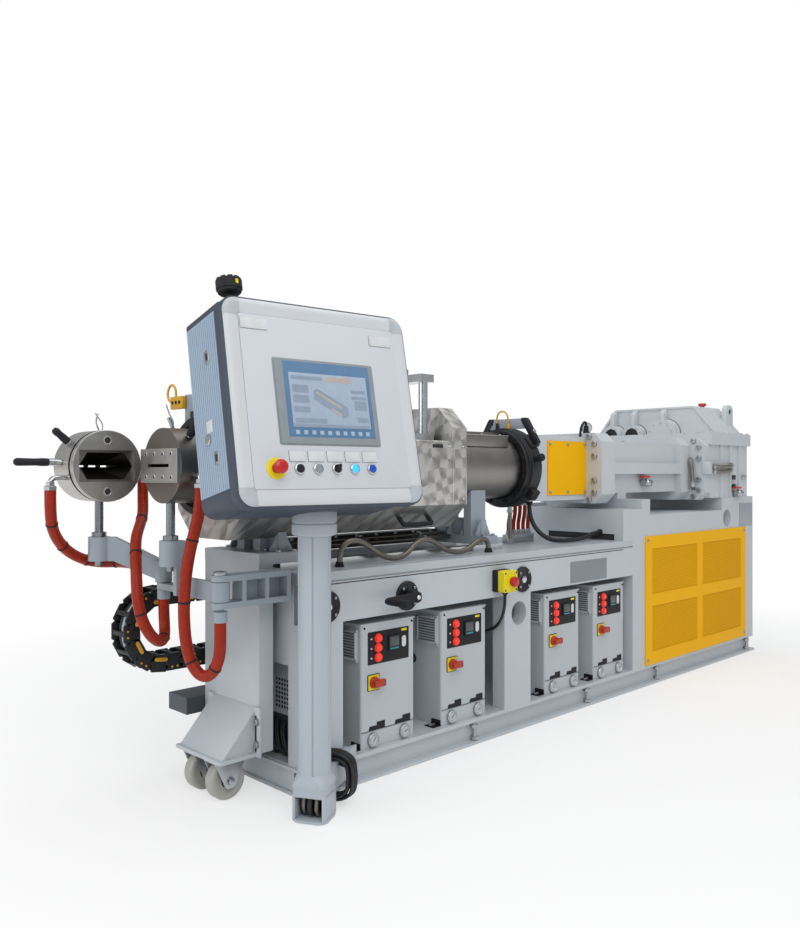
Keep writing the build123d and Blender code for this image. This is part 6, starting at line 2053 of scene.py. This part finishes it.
@dataclass
class BaseFittings:
    """Fittings of the welded base: crank, stop box, plates, rims, bolts, rear covers and the vent sheet."""

    front: float = FRONT_Y
    shaft: float = 603.0
    shafts: tuple[float, ...] = (-1570.0, -1207.0, -545.0)
    crank_x: float = -1207.0
    stop: Flat = (-692.5, 612.5)
    sheets: tuple[tuple[float, float, float, float], ...] = (
        (-1320, 385, 620, 540), (-680, 385, 620, 540), (-72, 385, 556, 540), (590, 500, 660, 760),
        (1296, 500, 660, 760))

    def build(self) -> None:
        """Makes every fitting."""
        self.crank()
        self.stop_box()
        self.plates()
        self.vents()
        self.rear_covers()

    def crank(self) -> None:
        """Three bearing flanges, and the crank with its turned grip."""
        flanges = Form()
        for x in self.shafts:
            place = Side.FRONT.at(x, self.front, self.shaft)
            profile = [(0, 0), (52, 0), (52, 8), (49, 11.5), (30, 12), (28, 11), (14, 11)]
            flanges.lathe(profile, BLACK, place, 48)
            if x != self.crank_x:
                flanges.lathe([(14.2, 10.5), (14.2, 12.8), (12, 13.6), (0, 13.8)], BRIGHT, place, 24)
        flanges.piece("shaft_flanges", "base", "black_oxide", ["crank_bearings"])
        corners = ((-0.7, 1), (0.7, 1), (0.7, -1), (-0.7, -1))
        spots = [Side.FRONT.at(x + 39 * sx, self.front - 11.8, self.shaft + 0.7 * 39 * sy)
                 for x in self.shafts for sx, sy in corners]
        bolts("shaft_flange_screws", spots, 5.0, "base", "black_oxide", ZINC)
        form = Form()
        hub = Side.FRONT.at(self.crank_x, self.front - 12.6, self.shaft)
        form.lathe([(0, 0), (18, 0), (20, 3), (20, 44), (17, 47.6), (0, 48)], BLACK_PLASTIC, hub, 32)
        form.lathe([(0, 47.5), (9, 47.5), (9, 51), (7, 52.5), (0, 52.5)], BRIGHT, hub, 6)
        arm = [(18, -14), (0, -18), (-141, -12), (-152, -6), (-152, 6), (-141, 12), (0, 18), (18, 14)]
        form.prism(arm, 36, 47, BLACK_PLASTIC, hub, 3.0, 3)
        grip = hub @ moved(-141, 0, 0)
        turned = [(0, 40), (8, 40), (8, 49), (11, 51), (12.6, 60)]
        for k in range(6):
            turned += [(13, 66 + 11 * k), (12.2, 70 + 11 * k), (12.2, 73 + 11 * k)]
        turned += [(13, 136), (11, 141), (6, 143), (0, 143)]
        form.lathe(turned, BLACK_PLASTIC, grip, 28)
        form.piece("hand_crank_turned", "crank", "black_plastic", ["hand_crank"])

    def stop_box(self) -> None:
        """Stop box: dark back, yellow lid, red mushroom and cable gland."""
        form = Form()
        place = Side.FRONT.at(self.stop[0], self.front, self.stop[1])
        form.prism(rounded(85, 85, 6, 4), 0, 27, BLACK_PLASTIC, place, 1.5)
        form.prism(rounded(84, 84, 7, 4), 27.6, 60, LEMON, place, 3.0, 3)
        form.lathe([(0, 60), (26, 60), (26, 63), (23, 65), (14, 65)], LEMON, place, 36)
        profile = [(13, 64), (13, 70), (20, 74), (21, 79), (19, 85), (12, 88), (0, 88.5)]
        form.lathe(profile, RED_PLASTIC, place, 36)
        for x in (-33, 33):
            for y in (-33, 33):
                profile = [(4.2, 59.6), (4.2, 60.6), (3, 61.2), (0, 61.2)]
                form.lathe(profile, BLACK, place @ moved(x, y, 0), 12)
        profile = [(0, 0), (10, 0), (12, 2), (12, 9), (8, 12), (7, 16), (0, 16)]
        form.lathe(profile, BLACK_PLASTIC, pointing((-692, -315, 571), (0, 0, -1)), 16)
        form.piece("stop_box_moulded", "base", "yellow_paint", ["e_stop_box"])

    def plates(self) -> None:
        """Bare plate on the apron, rims of the lifting holes, levelling bolts and cable glands."""
        form = Form()
        form.prism(rounded(286, 92, 4, 4), 0, 2, PLATE_SLATE, Side.FRONT.at(-60, self.front, 601), 0.5)
        for x, z in ((-565, 468), (1319, 783)):
            profile = [(47.6, -30), (47.6, -1), (49.5, 1.2), (56, 1.2), (58, 0)]
            form.lathe(profile, GREY_PAINT, Side.FRONT.at(x, self.front, z), 56)
        # A thin dark strip under the table's edge: painted shadow between the table and the apron.
        form.box((-1654, 228), (self.front - 0.5, self.front + 2), (672.5, 676), SHADOW, bevel=0.4)
        for low, high in ((0.5, 11), (79, 89.5)):
            form.box((-1664, -1655.2), (-284, 284), (low, high), GREY_PAINT, bevel=2.0)
        ends = [moved(-1440, -196, 715), moved(-660, -204, 715)]
        ends += [pointing((229, -160, 750), (-1, 0, 0)), pointing((-200, -60, 908), (0, 0, -1))]
        for place in ends:
            form.lathe(GLAND, BLACK_PLASTIC, place, 6)
        # A dark plate where the table enters the cabinet: painted shade in the opening.
        form.box((227.6, 229.4), (-236, 140), (716, 746), SHADOW, bevel=0.4)
        form.box((224, 229.4), (-242, 146), (745, 750), GREY_PAINT, bevel=1.0)
        for x in (-1560, -830, -60, 560, 1590):
            form.lathe([(0, 10), (8, 10), (8, 74), (6, 78), (0, 78)], ZINC, moved(x, -276, 0), 16)
            for z in (12, 58):
                form.lathe([(0, z), (15, z), (15, z + 12), (0, z + 12)], ZINC, moved(x, -276, 0), 6)
        form.piece("base_fittings", "base", "grey_paint")

    def rear_covers(self) -> None:
        """Screwed sheets and louvred doors on the far side of the base, with a cover on the gearbox."""
        form, screws, slots = Form(), [], []
        for x, z, wide, tall in self.sheets:
            place = Side.REAR.at(x, -self.front, z)
            form.prism(rounded(wide, tall, 8, 4), -0.5, 2.5, GREY_PAINT, place, 0.9)
            for u in (-wide / 2 + 18, 0, wide / 2 - 18):
                for v in (-tall / 2 + 18, tall / 2 - 18):
                    screws.append(place @ moved(u, v, 2.4))
            if tall > 700:
                form.prism(rounded(24, 110, 8, 4, (wide / 2 - 46, 40)), 2, 7, BLACK_PLASTIC, place, 1.5)
                form.prism(rounded(14, 84, 6, 4, (wide / 2 - 46, 46)), 6.5, 14, BLACK_PLASTIC, place, 2.5)
                for z_hinge in (-tall / 2 + 90, tall / 2 - 90):
                    hinge = place @ moved(-wide / 2 - 2, z_hinge - 30, 4) @ spun(-90, "X")
                    form.lathe([(0, 0), (7, 0), (7, 60), (0, 60)], BLACK, hinge, 16)
                slots += [place @ moved(-20, level, 2.5) for level in range(-300, -139, 20)]
        cover = Side.REAR.at(1361, 535, 1080)
        form.prism(rounded(300, 220, 16, 5), -0.5, 12, GEAR_PAINT, cover, 2.5)
        form.lathe([(0, 10), (64, 10), (64, 20), (58, 24), (0, 24)], GEAR_PAINT, cover, 40)
        form.piece("rear_covers", "base", "grey_paint")
        bolts("rear_cover_screws", screws, 5.0, "base", "grey_paint", ZINC)
        ring = [cover @ moved(u, v, 12) for u in (-132, -44, 44, 132) for v in (-92, 92)]
        bolts("gearbox_cover_screws", ring, 8.0, "base", "gearbox_paint", ZINC)
        hood = Form()
        lying = Matrix(((0, 0, 1, 0), (0, 1, 0, 0), (1, 0, 0, 0), (0, 0, 0, 1)))
        hood.prism([(0, -6), (9, 4), (9, 6), (0, 6)], -150, 150, GREY_PAINT, lying)
        Repeat("rear_louvres", GREY_PAINT).build(hood, slots, "base", "grey_paint")

    def vents(self) -> None:
        """Sheet behind the end opening, with a dark patch of painted shade over its open lower part, cables
        in front of it, and two groups of round holes drawn as dark discs of painted shade.
        """
        form = Form()
        form.box((-1602, -1598), (-200, 180), (95, 412), GREY_PAINT, bevel=0.8)
        outline = [(-198, 97), (178, 97), (178, 225), (-60, 225), (-198, 190)]
        # Dark patch on the lower part of the sheet: painted shade in the open end.
        form.prism(outline, -0.4, 1.0, SHADOW, Side.LEFT.at(-1602, 0, 0))
        for k in range(5):
            y, z = 30 - 34 * k, 102 + 5 * (k % 3)
            route = [(-1604, y, 214 - 3 * k), (-1612, y - 4, 170), (-1618, y - 26, z + 22),
                     (-1616, y - 62, z + 2), (-1610, y - 108, z)]
            form.tube(route, 7.0 if k % 2 else 9.0, CABLE_BLACK)
        form.piece("vent_sheet", "base", "grey_paint")
        hole = Form()
        # Each hole is a dark disc: painted shade.
        hole.prism(circle(5.2, 12), -0.5, 0.4, SHADOW)
        spots = [Side.LEFT.at(-1602, y0 + 15 * k, 250 + 15 * j) for y0 in (-165, 20) for k in range(8)
                 for j in range(7)]
        Repeat("vent_holes", SHADOW).build(hole, spots, "base", "grey_paint")


def main() -> None:
    """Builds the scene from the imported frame."""
    logging.basicConfig(level=logging.INFO, format="%(name)s: %(message)s")
    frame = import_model()
    Studio().build()
    Solids().build(frame["nodes"])
    Hoses().build()
    Console().build()
    ConsoleStand().build()
    for number, start in enumerate(UNIT_STARTS, 1):
        TemperatureUnit(number, start).build()
    GuardDoor().build()
    EnergyChain().build()
    Casters().build()
    Heads().build()
    GearLine().build()
    BarrelLine().build()
    BaseFittings().build()


if __name__ == "__main__":
    main()
